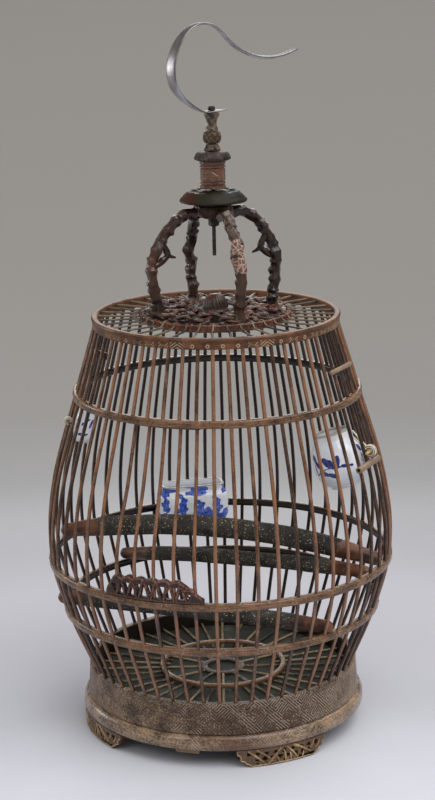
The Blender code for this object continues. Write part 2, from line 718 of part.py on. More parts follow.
def build_base(wood, board_paint):
    """Foot ring, engraved band, drop-in tray and the floor splints over it."""
    ring_top = FOOT_RING_Z + FOOT_RING_HEIGHT
    step_z = FOOT_RING_Z + FOOT_RING_HEIGHT * FOOT_RING_STEP_SHARE
    foot_ring = turned(
        "foot_ring",
        (
            (FOOT_RING_BORE, ring_top),
            (FOOT_RING_RADIUS - FOOT_RING_STEP, ring_top),
            (FOOT_RING_RADIUS, step_z),
            (FOOT_RING_RADIUS, FOOT_RING_Z),
            (FOOT_RING_BORE, FOOT_RING_Z),
        ),
        BASE_STEPS,
        wood,
    )
    turned(
        "base_band",
        (
            (BASE_BAND_BORE, BASE_BAND_TOP_Z),
            (BASE_BAND_TOP_RADIUS, BASE_BAND_TOP_Z),
            (BASE_BAND_LOW_RADIUS, BASE_BAND_Z),
            (BASE_BAND_BORE, BASE_BAND_Z),
        ),
        BAR_COUNT,
        wood,
        gap_azimuth(0),
    )
    facet_share = math.cos(math.pi / BASE_STEPS)
    tray_radius = FOOT_RING_BORE * facet_share - FIT_GAP
    tray_top = SPLINT_Z - FIT_GAP
    turned(
        "floor_tray",
        (
            (0, tray_top),
            (tray_radius, tray_top),
            (tray_radius, FOOT_RING_Z),
            (tray_radius - TRAY_SKIRT, FOOT_RING_Z),
            (tray_radius - TRAY_SKIRT, tray_top - TRAY_BOARD),
            (0, tray_top - TRAY_BOARD),
        ),
        BASE_STEPS,
        board_paint,
    )
    build_floor_splints(wood)
    return foot_ring


def fan_outline(count, start_deg, shape):
    """Closed outline of radial splints joined at their roots; shape is (root radius, reach, width)."""
    root, reach, width = shape
    outline = []
    for splint in range(count):
        azimuth = start_deg + FULL_TURN_DEG * splint / count
        along, across = polar(1.0, azimuth), polar(width / 2, azimuth + QUARTER_TURN_DEG)
        for radius, side in ((root, -1), (reach, -1), (reach, 1), (root, 1)):
            corner = along * radius + across * side
            outline.append((corner.x, corner.y))
    return outline


def build_floor_splints(material):
    """Radial splints fanned from a small hub, and the hoop that lies on them."""
    reach = BASE_BAND_BORE * math.cos(math.pi / BAR_COUNT) - FIT_GAP
    shape = (FLOOR_HUB_RADIUS, reach, SPLINT_WIDTH)
    outline = fan_outline(FLOOR_SPLINT_COUNT, 0.0, shape)
    bore = circle(FLOOR_HUB_BORE_RADIUS, FLOOR_SPLINT_COUNT // 2)
    plate("floor_splints", [outline, bore], SPLINT_Z, SPLINT_THICKNESS, material)
    low = SPLINT_Z + SPLINT_THICKNESS + FIT_GAP
    high = low + FLOOR_RING_HEIGHT
    inner = FLOOR_RING_RADIUS - FLOOR_RING_WIDTH / 2
    outer = FLOOR_RING_RADIUS + FLOOR_RING_WIDTH / 2
    profile = ((inner, high), (outer, high), (outer, low), (inner, low))
    turned("floor_ring", profile, BASE_STEPS, material)


def foot_underside(share):
    """Height share of a foot's lower edge at a share of its half span."""
    share = abs(share)
    last_share, last_height = FOOT_EDGE_SHARES[0]
    for edge_share, edge_height in FOOT_EDGE_SHARES[1:]:
        if share <= edge_share:
            part = max(0.0, (share - last_share) / (edge_share - last_share))
            return last_height + (edge_height - last_height) * part
        last_share, last_height = edge_share, edge_height
    return last_height


def build_feet(material):
    """Four low openwork feet under the foot ring."""
    outer = FOOT_RING_RADIUS - FOOT_SETBACK
    inner = outer - FOOT_DEPTH
    profile = ((inner, 0), (outer, 0), (outer, FOOT_HEIGHT), (inner, FOOT_HEIGHT))

    def lift(share, z):
        low = FOOT_HEIGHT * foot_underside(2 * share - 1)
        return z if z > FOOT_HEIGHT / 2 else low

    for foot in range(FOOT_COUNT):
        middle = FIRST_FOOT_DEG + FULL_TURN_DEG * foot / FOOT_COUNT
        start = middle - FOOT_SPAN_DEG / 2
        name = f"carved_foot_{foot + 1}"
        block = ring_block(name, profile, start, FOOT_SPAN_DEG, FOOT_STEPS, material, lift)
        holes = []
        for share, height in FOOT_HOLE_SHARES:
            azimuth = middle + share * FOOT_SPAN_DEG / 2
            z = FOOT_HEIGHT * height
            near = polar(inner - CUT_OVERRUN, azimuth, z)
            far = polar(outer + CUT_OVERRUN, azimuth, z)
            holes.append(as_cutter(rod_between(f"{name}_hole", near, far, FOOT_HOLE_RADIUS)))
        cut(block, holes)


def build_turn_button(wood, foot_ring):
    """Turn button that swings in under the tray, on a headed peg in the foot ring."""
    centre = polar(FOOT_RING_RADIUS - BUTTON_INSET, BUTTON_DEG)
    top = FOOT_RING_Z - FIT_GAP
    low = top - BUTTON_THICKNESS
    half = BUTTON_WIDTH / 2
    outline = [
        (-BUTTON_SHORT_ARM, -half),
        (BUTTON_LONG_ARM, -half),
        (BUTTON_LONG_ARM, half),
        (-BUTTON_SHORT_ARM, half),
    ]
    bore = circle(BUTTON_PEG_RADIUS + FIT_GAP, PIN_SIDES)
    button = plate("turn_button", [outline, bore], low, BUTTON_THICKNESS, wood)
    button.location.x = centre.x
    button.location.y = centre.y
    button.rotation_euler.z = math.radians(BUTTON_DEG + QUARTER_TURN_DEG)
    head_low = low - FIT_GAP - BUTTON_PEG_HEAD_HEIGHT
    tip = FOOT_RING_Z + BUTTON_PEG_DEPTH
    peg = turned(
        "button_peg",
        (
            (0, tip),
            (BUTTON_PEG_RADIUS, tip),
            (BUTTON_PEG_RADIUS, low - FIT_GAP),
            (BUTTON_PEG_HEAD_RADIUS, low - FIT_GAP),
            (BUTTON_PEG_HEAD_RADIUS, head_low),
            (0, head_low),
        ),
        PIN_SIDES,
        wood,
    )
    peg.location = centre
    socket = rod_between(
        "button_socket",
        centre + Vector((0, 0, FOOT_RING_Z - CUT_OVERRUN)),
        centre + Vector((0, 0, tip + FIT_GAP)),
        BUTTON_PEG_RADIUS + FIT_GAP,
    )
    cut(foot_ring, [as_cutter(socket)])


def build_top_ring(material):
    profile = (
        (TOP_RING_BORE, TOP_RING_TOP_Z),
        (TOP_RING_RADIUS, TOP_RING_TOP_Z),
        (TOP_RING_RADIUS, TOP_RING_TOP_Z - TOP_RING_LIP_HEIGHT),
        (TOP_RING_RADIUS - TOP_RING_LIP, TOP_RING_TOP_Z - TOP_RING_LIP_HEIGHT),
        (TOP_RING_RADIUS - TOP_RING_LIP, TOP_RING_Z),
        (TOP_RING_BORE, TOP_RING_Z),
    )
    turned("top_ring", profile, BAR_COUNT, material, gap_azimuth(0))


def petal_radius(azimuth_deg):
    """Outer radius of the scalloped ring, notched between petals."""
    turn = math.radians(azimuth_deg - FIRST_TOP_SPLINT_DEG)
    wave = abs(math.cos(turn * PETAL_COUNT / 2))
    return PETAL_RING_RADIUS - PETAL_DEPTH * (1.0 - wave)


def build_crown_platform(wood, carved_wood):
    """Scalloped ring, the splints round it, the pierced plate and the boss on it."""
    samples = PETAL_COUNT * PETAL_STEPS
    outline = []
    for sample in range(samples):
        azimuth = FULL_TURN_DEG * sample / samples
        corner = polar(petal_radius(azimuth), azimuth)
        outline.append((corner.x, corner.y))
    bore = PETAL_RING_RADIUS - PETAL_DEPTH - PETAL_RING_WALL
    bore_outline = circle(bore, BASE_STEPS)
    plate("petal_ring", [outline, bore_outline], PETAL_RING_Z, PETAL_RING_HEIGHT, carved_wood)
    build_top_splints(wood)

    plate_radius = bore * math.cos(math.pi / BASE_STEPS) - FIT_GAP
    holes = []
    leg_pitch = FULL_TURN_DEG / LEG_COUNT
    for leg in range(LEG_COUNT):
        for share in CROWN_HOLE_SHARES:
            azimuth = FIRST_LEG_DEG + leg_pitch * (leg + share)
            centre = polar(CROWN_HOLE_CIRCLE_RADIUS, azimuth)
            holes.append(circle(CROWN_HOLE_RADIUS, CROWN_HOLE_SIDES, centre))
        for share in CROWN_INNER_HOLE_SHARES:
            azimuth = FIRST_LEG_DEG + leg_pitch * (leg + share)
            centre = polar(CROWN_INNER_HOLE_CIRCLE_RADIUS, azimuth)
            holes.append(circle(CROWN_INNER_HOLE_RADIUS, CROWN_HOLE_SIDES, centre))
    low = CROWN_PLATE_TOP_Z - CROWN_PLATE_THICKNESS
    rim = circle(plate_radius, BASE_STEPS)
    plate("crown_plate", [rim, *holes], low, CROWN_PLATE_THICKNESS, carved_wood)

    foot = CROWN_PLATE_TOP_Z + FIT_GAP
    rim_top = foot + BOSS_RIM_HEIGHT
    dome = BOSS_HEIGHT - BOSS_RIM_HEIGHT
    profile = [(0, foot + BOSS_HEIGHT)]
    profile += [(BOSS_RADIUS * wide, rim_top + dome * high) for wide, high in BOSS_SHARES]
    profile += [(BOSS_RADIUS, rim_top), (BOSS_RADIUS, foot), (0, foot)]
    turned("top_boss", profile, NECK_STEPS, carved_wood)


def build_top_splints(material):
    """Radial splints from a rim round the scalloped ring to the top ring."""
    inner = PETAL_RING_RADIUS + FIT_GAP
    reach = TOP_RING_BORE * math.cos(math.pi / BAR_COUNT) - FIT_GAP
    shape = (inner + TOP_SPLINT_RIM, reach, TOP_SPLINT_WIDTH)
    outline = fan_outline(TOP_SPLINT_COUNT, FIRST_TOP_SPLINT_DEG, shape)
    bore = circle(inner / math.cos(math.pi / BASE_STEPS), BASE_STEPS)
    low = (PETAL_RING_Z + TOP_RING_TOP_Z - TOP_SPLINT_THICKNESS) / 2
    plate("top_splints", [outline, bore], low, TOP_SPLINT_THICKNESS, material)


def leg_point(reach_share, height_share, sway=0.0):
    """Point of a crown leg in its own upright plane, with X away from the neck."""
    start = HUB_RADIUS + FIT_GAP
    widest = (LEG_FOOT_RADIUS - start) / LEG_ROUTE_SHARES[-1][0] + start
    low = CROWN_PLATE_TOP_Z + FIT_GAP
    high = HUB_Z + HUB_HEIGHT * LEG_TOP_SHARE
    x = start + (widest - start) * reach_share
    return Vector((x, sway, low + (high - low) * height_share))


def build_crown_legs(material):
    """Four gnarled legs from the crown plate up to the hub; two of them fork."""
    for leg in range(LEG_COUNT):
        name = f"crown_leg_{leg + 1}"
        route = []
        for number, (reach, height) in enumerate(LEG_ROUTE_SHARES):
            sway_share = LEG_SWAY_SHARES[(number + leg) % len(LEG_SWAY_SHARES)]
            sway = LEG_SWAY * sway_share if number >= LEG_HUB_POINTS else 0.0
            route.append(leg_point(reach, height, sway))
        route.append(Vector((LEG_FOOT_RADIUS, 0, CROWN_PLATE_TOP_Z + FIT_GAP)))
        girths = [LEG_GIRTH * share for share in LEG_GIRTH_SHARES]
        if leg == LEG_COUNT - 1:
            for number, share in BARREL_SHARES.items():
                girths[number] = LEG_GIRTH * share
        azimuth = FIRST_LEG_DEG + FULL_TURN_DEG * leg / LEG_COUNT
        body = rods(name, [route], girths, material, LEG_BEVEL_STEPS)
        if leg % 2 == 0:
            fork = [leg_point(reach, height) for reach, height in PRONG_ROUTE_SHARES]
            prong = rods("fork", [fork], [PRONG_GIRTH] * len(fork), None, PRONG_BEVEL_STEPS)
            body = joined(body, [prong])
        body.rotation_euler.z = math.radians(azimuth)


def neck_piece(name, outline, low, height, radius, material, steps=NECK_STEPS):
    """Turned neck piece bored for the rod; outline holds (radius share, height share), top first."""
    bore = ROD_BORE / math.cos(math.pi / steps)
    profile = [(bore, low + height)]
    profile += [(radius * wide, low + height * high) for wide, high in outline]
    profile.append((bore, low))
    return turned(name, profile, steps, material)


def build_neck(wood, dark_wood, brass, iron):
    """The stack that the rod threads, from the hub up to the finial, and the rod with its nut."""
    neck_piece("leg_hub", HUB_SHARES, HUB_Z, HUB_HEIGHT, HUB_RADIUS, dark_wood)
    neck_piece("canopy_dish", CANOPY_SHARES, CANOPY_Z, CANOPY_HEIGHT, CANOPY_RADIUS, dark_wood)
    neck_piece("neck_drum", DRUM_SHARES, DRUM_Z, DRUM_HEIGHT, DRUM_RADIUS, wood)
    neck_piece("cap_disc", CAP_DISC_SHARES, CAP_DISC_Z, CAP_DISC_HEIGHT, CAP_DISC_RADIUS, dark_wood)
    neck_piece("neck_collar", COLLAR_SHARES, COLLAR_Z, COLLAR_HEIGHT, COLLAR_RADIUS, brass)
    neck_piece("faceted_bead", BEAD_SHARES, BEAD_Z, BEAD_HEIGHT, BEAD_RADIUS, brass, BEAD_SIDES)
    neck_piece("finial", FINIAL_SHARES, FINIAL_Z, FINIAL_HEIGHT, FINIAL_RADIUS, brass)
    nut_z = HUB_Z - FIT_GAP - NUT_HEIGHT
    neck_piece("rod_nut", NUT_SHARES, nut_z, NUT_HEIGHT, NUT_RADIUS, iron, NUT_SIDES)

    head_low = EYE_Z + EYE_THICKNESS / 2 + FIT_GAP
    head_high = head_low + ROD_HEAD_HEIGHT
    turned(
        "swivel_rod",
        (
            (0, head_high),
            (ROD_HEAD_RADIUS * ROD_HEAD_TOP_SHARE, head_high),
            (ROD_HEAD_RADIUS, head_low + ROD_HEAD_HEIGHT / 2),
            (ROD_HEAD_RADIUS, head_low),
            (ROD_RADIUS, head_low),
            (ROD_RADIUS, nut_z - ROD_TAIL),
            (0, nut_z - ROD_TAIL),
        ),
        ROD_SIDES,
        iron,
    )


def build_hook(steel):
    """Steel band lofted along its curve, flat at the eye and nearly round at the tip."""
    places = []
    for reach, rise, _, _ in HOOK_ROUTE_SHARES:
        places.append(Vector((HOOK_REACH * reach, 0, HOOK_RISE * rise)))
    half_width = HOOK_BAND_WIDTH / 2 / math.cos(math.pi / HOOK_SECTION_SIDES)
    across = Vector((0, 1, 0))
    bm = bmesh.new()
    rings = []
    for number, (_, _, wide, thick) in enumerate(HOOK_ROUTE_SHARES):
        before = places[max(number - 1, 0)]
        after = places[min(number + 1, len(places) - 1)]
        along = (after - before).normalized()
        out = across.cross(along)
        ring = []
        for side in range(HOOK_SECTION_SIDES):
            angle = math.tau * (side + 0.5) / HOOK_SECTION_SIDES
            sideways = across * half_width * wide * math.cos(angle)
            outwards = out * HOOK_BAND_THICKNESS / 2 * thick * math.sin(angle)
            ring.append(bm.verts.new(places[number] + sideways + outwards))
        rings.append(ring)
    for first, second in zip(rings, rings[1:]):
        for side in range(HOOK_SECTION_SIDES):
            after = (side + 1) % HOOK_SECTION_SIDES
            bm.faces.new((first[side], first[after], second[after], second[side]))
    bm.faces.new(rings[0])
    bm.faces.new(rings[-1])
    hook = add_mesh("hook", closed_mesh("hook", bm), steel)
    reach = HOOK_BAND_THICKNESS + CUT_OVERRUN
    eye = rod_between("hook_eye", (0, 0, -reach), (0, 0, reach), ROD_BORE, None, NECK_STEPS)
    eye.parent = hook
    hook.location.z = EYE_Z
    hook.rotation_euler.z = math.radians(HOOK_TURN_DEG)
    cut(hook, [as_cutter(eye)])


def door_top():
    """Radius and height of the upper end of the door's bars, behind the upper hoop."""
    return UPPER_BAR_CIRCLE_RADIUS - DOOR_INSET, UPPER_HOOP_Z - DOOR_RAIL_DROP


def door_bar_route(index, grow=0.0):
    """Route of a door bar: it follows the wall's bulge, then passes inside the upper hoop."""
    sill = MIDDLE_HOOP_Z + HOOP_HEIGHT / 2 + FIT_GAP
    radius, height = door_top()
    bulge_radius, bulge_z = WALL_ROUTE[UPPER_CORNER_INDEX - 1]
    slope = (radius - bulge_radius + DOOR_INSET) / (height - bulge_z)
    clear_z = height - DOOR_TRAVEL
    corners = [
        (MIDDLE_BAR_CIRCLE_RADIUS, sill + FIT_GAP - grow),
        WALL_ROUTE[MIDDLE_CORNER_INDEX + 1],
        (radius - slope * DOOR_TRAVEL, clear_z),
        (radius, height),
    ]
    return [polar(corner_radius, bar_azimuth(index), z) for corner_radius, z in corners]


def build_door(wood, carved_wood):
    """Sliding door: a carved plaque that rests on the middle hoop, and bars with a rail at their top."""
    indices = range(DOOR_FIRST_BAR, DOOR_FIRST_BAR + DOOR_BAR_COUNT)
    routes = [door_bar_route(index) for index in indices]
    bars = rods("door_bars", routes, [DOOR_BAR_RADIUS] * len(routes[0]), wood)
    radius, height = door_top()
    rail_high = height - DOOR_RAIL_SINK
    rail_low = rail_high - DOOR_RAIL_HEIGHT
    profile = (
        (radius - DOOR_RAIL_DEPTH / 2, rail_low),
        (radius + DOOR_RAIL_DEPTH / 2, rail_low),
        (radius + DOOR_RAIL_DEPTH / 2, rail_high),
        (radius - DOOR_RAIL_DEPTH / 2, rail_high),
    )
    over_deg = math.degrees(2 * DOOR_BAR_RADIUS / radius)
    start = bar_azimuth(DOOR_FIRST_BAR) - over_deg
    sweep = BAR_PITCH_DEG * (DOOR_BAR_COUNT - 1) + 2 * over_deg
    rail = ring_block("door_rail", profile, start, sweep, DOOR_BAR_COUNT + 1)
    joined(bars, [rail])
    build_plaque(carved_wood, indices)


def build_plaque(material, indices):
    """Carved bottom rail of the door, bored for its bars and pierced between them."""
    sill = MIDDLE_HOOP_Z + HOOP_HEIGHT / 2 + FIT_GAP
    inner = MIDDLE_BAR_CIRCLE_RADIUS - PLAQUE_DEPTH / 2
    outer = MIDDLE_BAR_CIRCLE_RADIUS + PLAQUE_DEPTH / 2
    high = sill + PLAQUE_HEIGHT
    profile = ((inner, sill), (outer, sill), (outer, high), (inner, high))

    def lift(share, z):
        step = min(int(round(share * PLAQUE_STEPS)), PLAQUE_STEPS)
        return z if z < (sill + high) / 2 else sill + PLAQUE_HEIGHT * PLAQUE_TOP_SHARES[step]

    start = FRONT_DEG + PLAQUE_LEFT_DEG
    sweep = PLAQUE_RIGHT_DEG - PLAQUE_LEFT_DEG
    plaque = ring_block("door_plaque", profile, start, sweep, PLAQUE_STEPS, material, lift)
    clear_radius = DOOR_BAR_RADIUS + FIT_GAP * math.sqrt(2.0)
    routes = [door_bar_route(index, CUT_OVERRUN) for index in indices]
    bores = rods("clear_door_bars", routes, [clear_radius] * len(routes[0]))
    cutters = [as_cutter(bores)]
    for share, height in PLAQUE_HOLE_SHARES:
        azimuth = start + sweep * share
        z = sill + PLAQUE_HEIGHT * height
        near = polar(inner - CUT_OVERRUN, azimuth, z)
        far = polar(outer + CUT_OVERRUN, azimuth, z)
        cutters.append(as_cutter(rod_between("plaque_hole", near, far, PLAQUE_HOLE_RADIUS)))
    cut(plaque, cutters)


def perch_route(start, end, bow):
    """Points along a perch that rises by bow above its chord at mid length."""
    route = []
    for number in range(PERCH_POINTS):
        share = number / (PERCH_POINTS - 1)
        place = start.lerp(end, share)
        place.z += bow * 4 * share * (1 - share)
        route.append(place)
    return route


def perch_girths(middle, end):
    """Radii that swell from the ends to the middle of a perch."""
    girths = []
    for number in range(PERCH_POINTS):
        share = number / (PERCH_POINTS - 1)
        swell = min(1.0, min(share, 1 - share) / PERCH_TAPER_SHARE)
        girths.append(end + (middle - end) * math.sin(swell * math.pi / 2))
    return girths


def build_perches(material, clear_bars):
    """Three branch perches that lie on the hoops or butt against them."""
    middle_top = MIDDLE_HOOP_Z + HOOP_HEIGHT / 2 + FIT_GAP
    lower_top = LOWER_HOOP_Z + HOOP_HEIGHT / 2 + FIT_GAP
    butt = (MIDDLE_BAR_CIRCLE_RADIUS - HOOP_WIDTH / 2) * math.cos(math.pi / BAR_COUNT) - FIT_GAP
    a_left = polar(MIDDLE_BAR_CIRCLE_RADIUS, gap_azimuth(PERCH_A_GAPS[0]), middle_top + PERCH_A_END_RADIUS)
    a_right = polar(butt, gap_azimuth(PERCH_A_GAPS[1]), MIDDLE_HOOP_Z)
    hoop_edge = LOWER_BAR_CIRCLE_RADIUS + HOOP_WIDTH / 2
    b_left = polar(hoop_edge, gap_azimuth(PERCH_B_GAPS[0]), lower_top + PERCH_B_END_RADIUS)
    b_right = polar(butt, gap_azimuth(PERCH_B_GAPS[1]), MIDDLE_HOOP_Z)
    c_height = lower_top + PERCH_C_END_RADIUS
    c_left = polar(LOWER_BAR_CIRCLE_RADIUS + PERCH_C_KNOB_LENGTH, gap_azimuth(PERCH_C_GAPS[0]), c_height)
    c_right = polar(hoop_edge, gap_azimuth(PERCH_C_GAPS[1]), c_height)
    for name, start, end, bow, middle, tip in (
        ("perch_upper", a_left, a_right, PERCH_A_BOW, PERCH_A_RADIUS, PERCH_A_END_RADIUS),
        ("perch_middle", b_left, b_right, PERCH_B_BOW, PERCH_B_RADIUS, PERCH_B_END_RADIUS),
        ("perch_lower", c_left, c_right, PERCH_C_BOW, PERCH_C_RADIUS, PERCH_C_END_RADIUS),
    ):
        route = perch_route(start, end, bow)
        perch = rods(name, [route], perch_girths(middle, tip), material, PERCH_BEVEL_STEPS)
        cut(perch, [clear_bars, as_cutter(clear_hoop(name, end))])


def clear_hoop(name, end):
    """Ring a fit gap larger than the hoop that a perch's end meets."""
    circles = ((LOWER_BAR_CIRCLE_RADIUS, LOWER_HOOP_Z), (MIDDLE_BAR_CIRCLE_RADIUS, MIDDLE_HOOP_Z))
    bar_circle, z = min(circles, key=lambda level: abs(level[1] - end.z))
    profile = hoop_profile(bar_circle, z, FIT_GAP)
    return turned(f"{name}_clear_hoop", profile, BAR_COUNT, None, gap_azimuth(0))


def pot_shell(name, shares, radius, height, material):
    """Turned pot with its foot at z = 0, open at the top."""
    outer = [(radius * wide, height * high) for high, wide in shares]
    inner = []
    for wide, z in outer:
        inner.append((wide - POT_WALL, max(z, POT_FLOOR)))
    profile = [(0, POT_FLOOR), *inner, *reversed(outer), (0, 0)]
    return turned(name, profile, POT_STEPS, material)


def disc(name, centre, radius, thickness, material=None, sides=DISC_SIDES):
    """Round disc whose axis runs along Y."""
    offset = Vector((0, thickness / 2, 0))
    return rod_between(name, centre - offset, centre + offset, radius, material, sides)


def build_round_pot(name, place, shell_sizes, lug_disc, pin_length, looks):
    """Pot inside the wall with a lug that passes between two bars to a pierced disc and its pin."""
    gap, lug_z, standoff = place
    shares, radius, height, lug_share = shell_sizes
    porcelain, pin_material = looks
    disc_radius, disc_thickness = lug_disc
    frame = wall_frame(gap_azimuth(gap), lug_z)
    pot = pot_shell(name, shares, radius, height, porcelain)
    axis_x = -(BAR_RADIUS + standoff + radius)
    shell = Matrix.Translation((axis_x, 0, -height * lug_share))
    pot.data.transform(shell)
    surface = axis_x + radius * pot_width_share(shares, lug_share)
    eye = Vector((PIN_OFFSET, 0, 0))
    arm_end = eye - Vector((disc_radius - LUG_BITE, 0, 0))
    arm = rod_between("arm", (surface - LUG_BITE, 0, 0), arm_end, LUG_ARM_RADIUS)
    pot = joined(pot, [arm, disc("lug", eye, disc_radius, disc_thickness)])
    reach = disc_thickness + CUT_OVERRUN
    bore = disc(f"{name}_bore", eye, PIN_RADIUS + FIT_GAP, 2 * reach, None, PIN_SIDES)
    bore.matrix_world = frame
    cut(pot, [as_cutter(bore)])
    pin = disc(f"{name}_pin", Vector(), PIN_RADIUS, pin_length, pin_material, PIN_SIDES)
    pin.matrix_world = frame @ Matrix.Translation(eye)
    pot.matrix_world = frame


def pot_width_share(shares, height_share):
    """Width share of a pot at a share of its height."""
    for (low, low_wide), (high, high_wide) in zip(shares, shares[1:]):
        if height_share <= high:
            return low_wide + (high_wide - low_wide) * (height_share - low) / (high - low)
    return shares[-1][1]


def rounded_outline(length, depth, corner):
    """Rectangle in XY with round corners, X being the depth."""
    outline = []
    for quarter, (x_side, y_side) in enumerate(((1, 1), (-1, 1), (-1, -1), (1, -1))):
        for step in range(TROUGH_CORNER_STEPS + 1):
            angle = QUARTER_TURN_DEG * (quarter + step / TROUGH_CORNER_STEPS)
            turn = polar(corner, angle)
            x = x_side * (depth / 2 - corner) + turn.x
            y = y_side * (length / 2 - corner) + turn.y
            outline.append((x, y))
    return outline


def build_trough(porcelain, wood):
    """Oblong pot at the back, hung from two lugs that pass between the bars."""
    azimuth = bar_azimuth(TROUGH_BAR)
    turn = Matrix.Rotation(math.radians(azimuth), 4, "Z")
    low = MIDDLE_HOOP_Z - TROUGH_SILL_DROP
    back = MIDDLE_BAR_CIRCLE_RADIUS - HOOP_WIDTH / 2 - TROUGH_BACK_CLEARANCE
    outline = rounded_outline(TROUGH_LENGTH, TROUGH_DEPTH, TROUGH_CORNER_RADIUS)
    trough = plate("pot_back", [outline], 0.0, TROUGH_HEIGHT, porcelain)
    trough.data.transform(trough.matrix_world)
    trough.matrix_world = Matrix()
    shrink = 2 * POT_WALL
    inner_corner = TROUGH_CORNER_RADIUS - POT_WALL
    hollow = rounded_outline(TROUGH_LENGTH - shrink, TROUGH_DEPTH - shrink, inner_corner)
    lug_z = TROUGH_HEIGHT * TROUGH_LUG_SHARE
    wall_radius, _ = wall_at(low + lug_z)
    eye_x = wall_radius + PIN_OFFSET - back + TROUGH_DEPTH / 2
    half_pitch = math.radians(BAR_PITCH_DEG / 2)
    helpers = []
    for side in (-1, 1):
        offset = side * wall_radius * math.sin(half_pitch)
        eye = Vector((eye_x, offset, lug_z))
        root = Vector((TROUGH_DEPTH / 2 - LUG_BITE, offset, lug_z))
        arm_end = eye - Vector((TROUGH_DISC_RADIUS - LUG_BITE, 0, 0))
        helpers.append(rod_between("arm", root, arm_end, LUG_ARM_RADIUS))
        helpers.append(disc("lug", eye, TROUGH_DISC_RADIUS, TROUGH_DISC_THICKNESS))
    trough = joined(trough, helpers)
    place = turn @ Matrix.Translation((back - TROUGH_DEPTH / 2, 0, low))
    cavity = plate("trough_cavity", [hollow], POT_FLOOR, TROUGH_HEIGHT, None)
    cavity.matrix_world = place @ cavity.matrix_world
    eye = Vector((eye_x, 0, lug_z))
    bore_length = TROUGH_PIN_LENGTH + CUT_OVERRUN
    bore = disc("trough_bore", eye, PIN_RADIUS + FIT_GAP, bore_length, None, PIN_SIDES)
    bore.matrix_world = place
    cut(trough, [as_cutter(cavity), as_cutter(bore)])
    pin = disc("pot_back_pin", Vector(), PIN_RADIUS, TROUGH_PIN_LENGTH, wood, PIN_SIDES)
    pin.matrix_world = place @ Matrix.Translation(eye)
    trough.matrix_world = place


def build_pots(porcelain, wood, bamboo):
    """The three pots, their pins, and the bamboo stay under the right-hand one's disc."""
    build_round_pot(
        "pot_right",
        (JAR_GAP, JAR_LUG_Z, JAR_STANDOFF),
        (JAR_SHARES, JAR_RADIUS, JAR_HEIGHT, JAR_LUG_SHARE),
        (JAR_DISC_RADIUS, JAR_DISC_THICKNESS),
        JAR_PIN_LENGTH,
        (porcelain, bamboo),
    )
    build_round_pot(
        "pot_left",
        (CUP_GAP, CUP_LUG_Z, CUP_STANDOFF),
        (CUP_SHARES, CUP_RADIUS, CUP_HEIGHT, CUP_LUG_SHARE),
        (CUP_DISC_RADIUS, CUP_DISC_THICKNESS),
        CUP_PIN_LENGTH,
        (porcelain, wood),
    )
    build_trough(porcelain, wood)
    half = STAY_LENGTH / 2
    ring = (
        (STAY_BORE_RADIUS, half),
        (STAY_RADIUS, half),
        (STAY_RADIUS, -half),
        (STAY_BORE_RADIUS, -half),
    )
    stay = turned("pot_right_stay", ring, PIN_SIDES, bamboo)
    outside = BAR_RADIUS + FIT_GAP + STAY_RADIUS
    lie_along_hoop = Matrix.Rotation(math.radians(QUARTER_TURN_DEG), 4, "X")
    frame = wall_frame(gap_azimuth(STAY_GAP), JAR_LUG_Z)
    stay.matrix_world = frame @ Matrix.Translation((outside, 0, -STAY_DROP)) @ lie_along_hoop


def build_fittings(wood, dark_wood):
    """Spare peg across the bars on the right, and the cloud bracket on the inner side of a bar."""
    frame = wall_frame(gap_azimuth(SPARE_PEG_GAP), UPPER_HOOP_Z + SPARE_PEG_RISE)
    peg = disc("spare_peg", Vector(), SPARE_PEG_RADIUS, SPARE_PEG_LENGTH, wood, PIN_SIDES)
    outside = BAR_RADIUS + FIT_GAP + SPARE_PEG_RADIUS
    peg.matrix_world = frame @ Matrix.Translation((outside, 0, 0))

    outline = [(-BRACKET_LENGTH * out, BRACKET_HEIGHT * high) for out, high in BRACKET_SHARES]
    low = -BRACKET_THICKNESS / 2
    bracket = plate("cloud_bracket", [outline], low, BRACKET_THICKNESS, dark_wood)
    stand_up = Matrix.Rotation(math.radians(QUARTER_TURN_DEG), 4, "X")
    frame = wall_frame(bar_azimuth(BRACKET_BAR), UPPER_HOOP_Z + BRACKET_RISE)
    root = Matrix.Translation((-BAR_RADIUS - FIT_GAP, 0, 0))
    bracket.data.transform(bracket.matrix_world)
    bracket.matrix_world = frame @ root @ stand_up


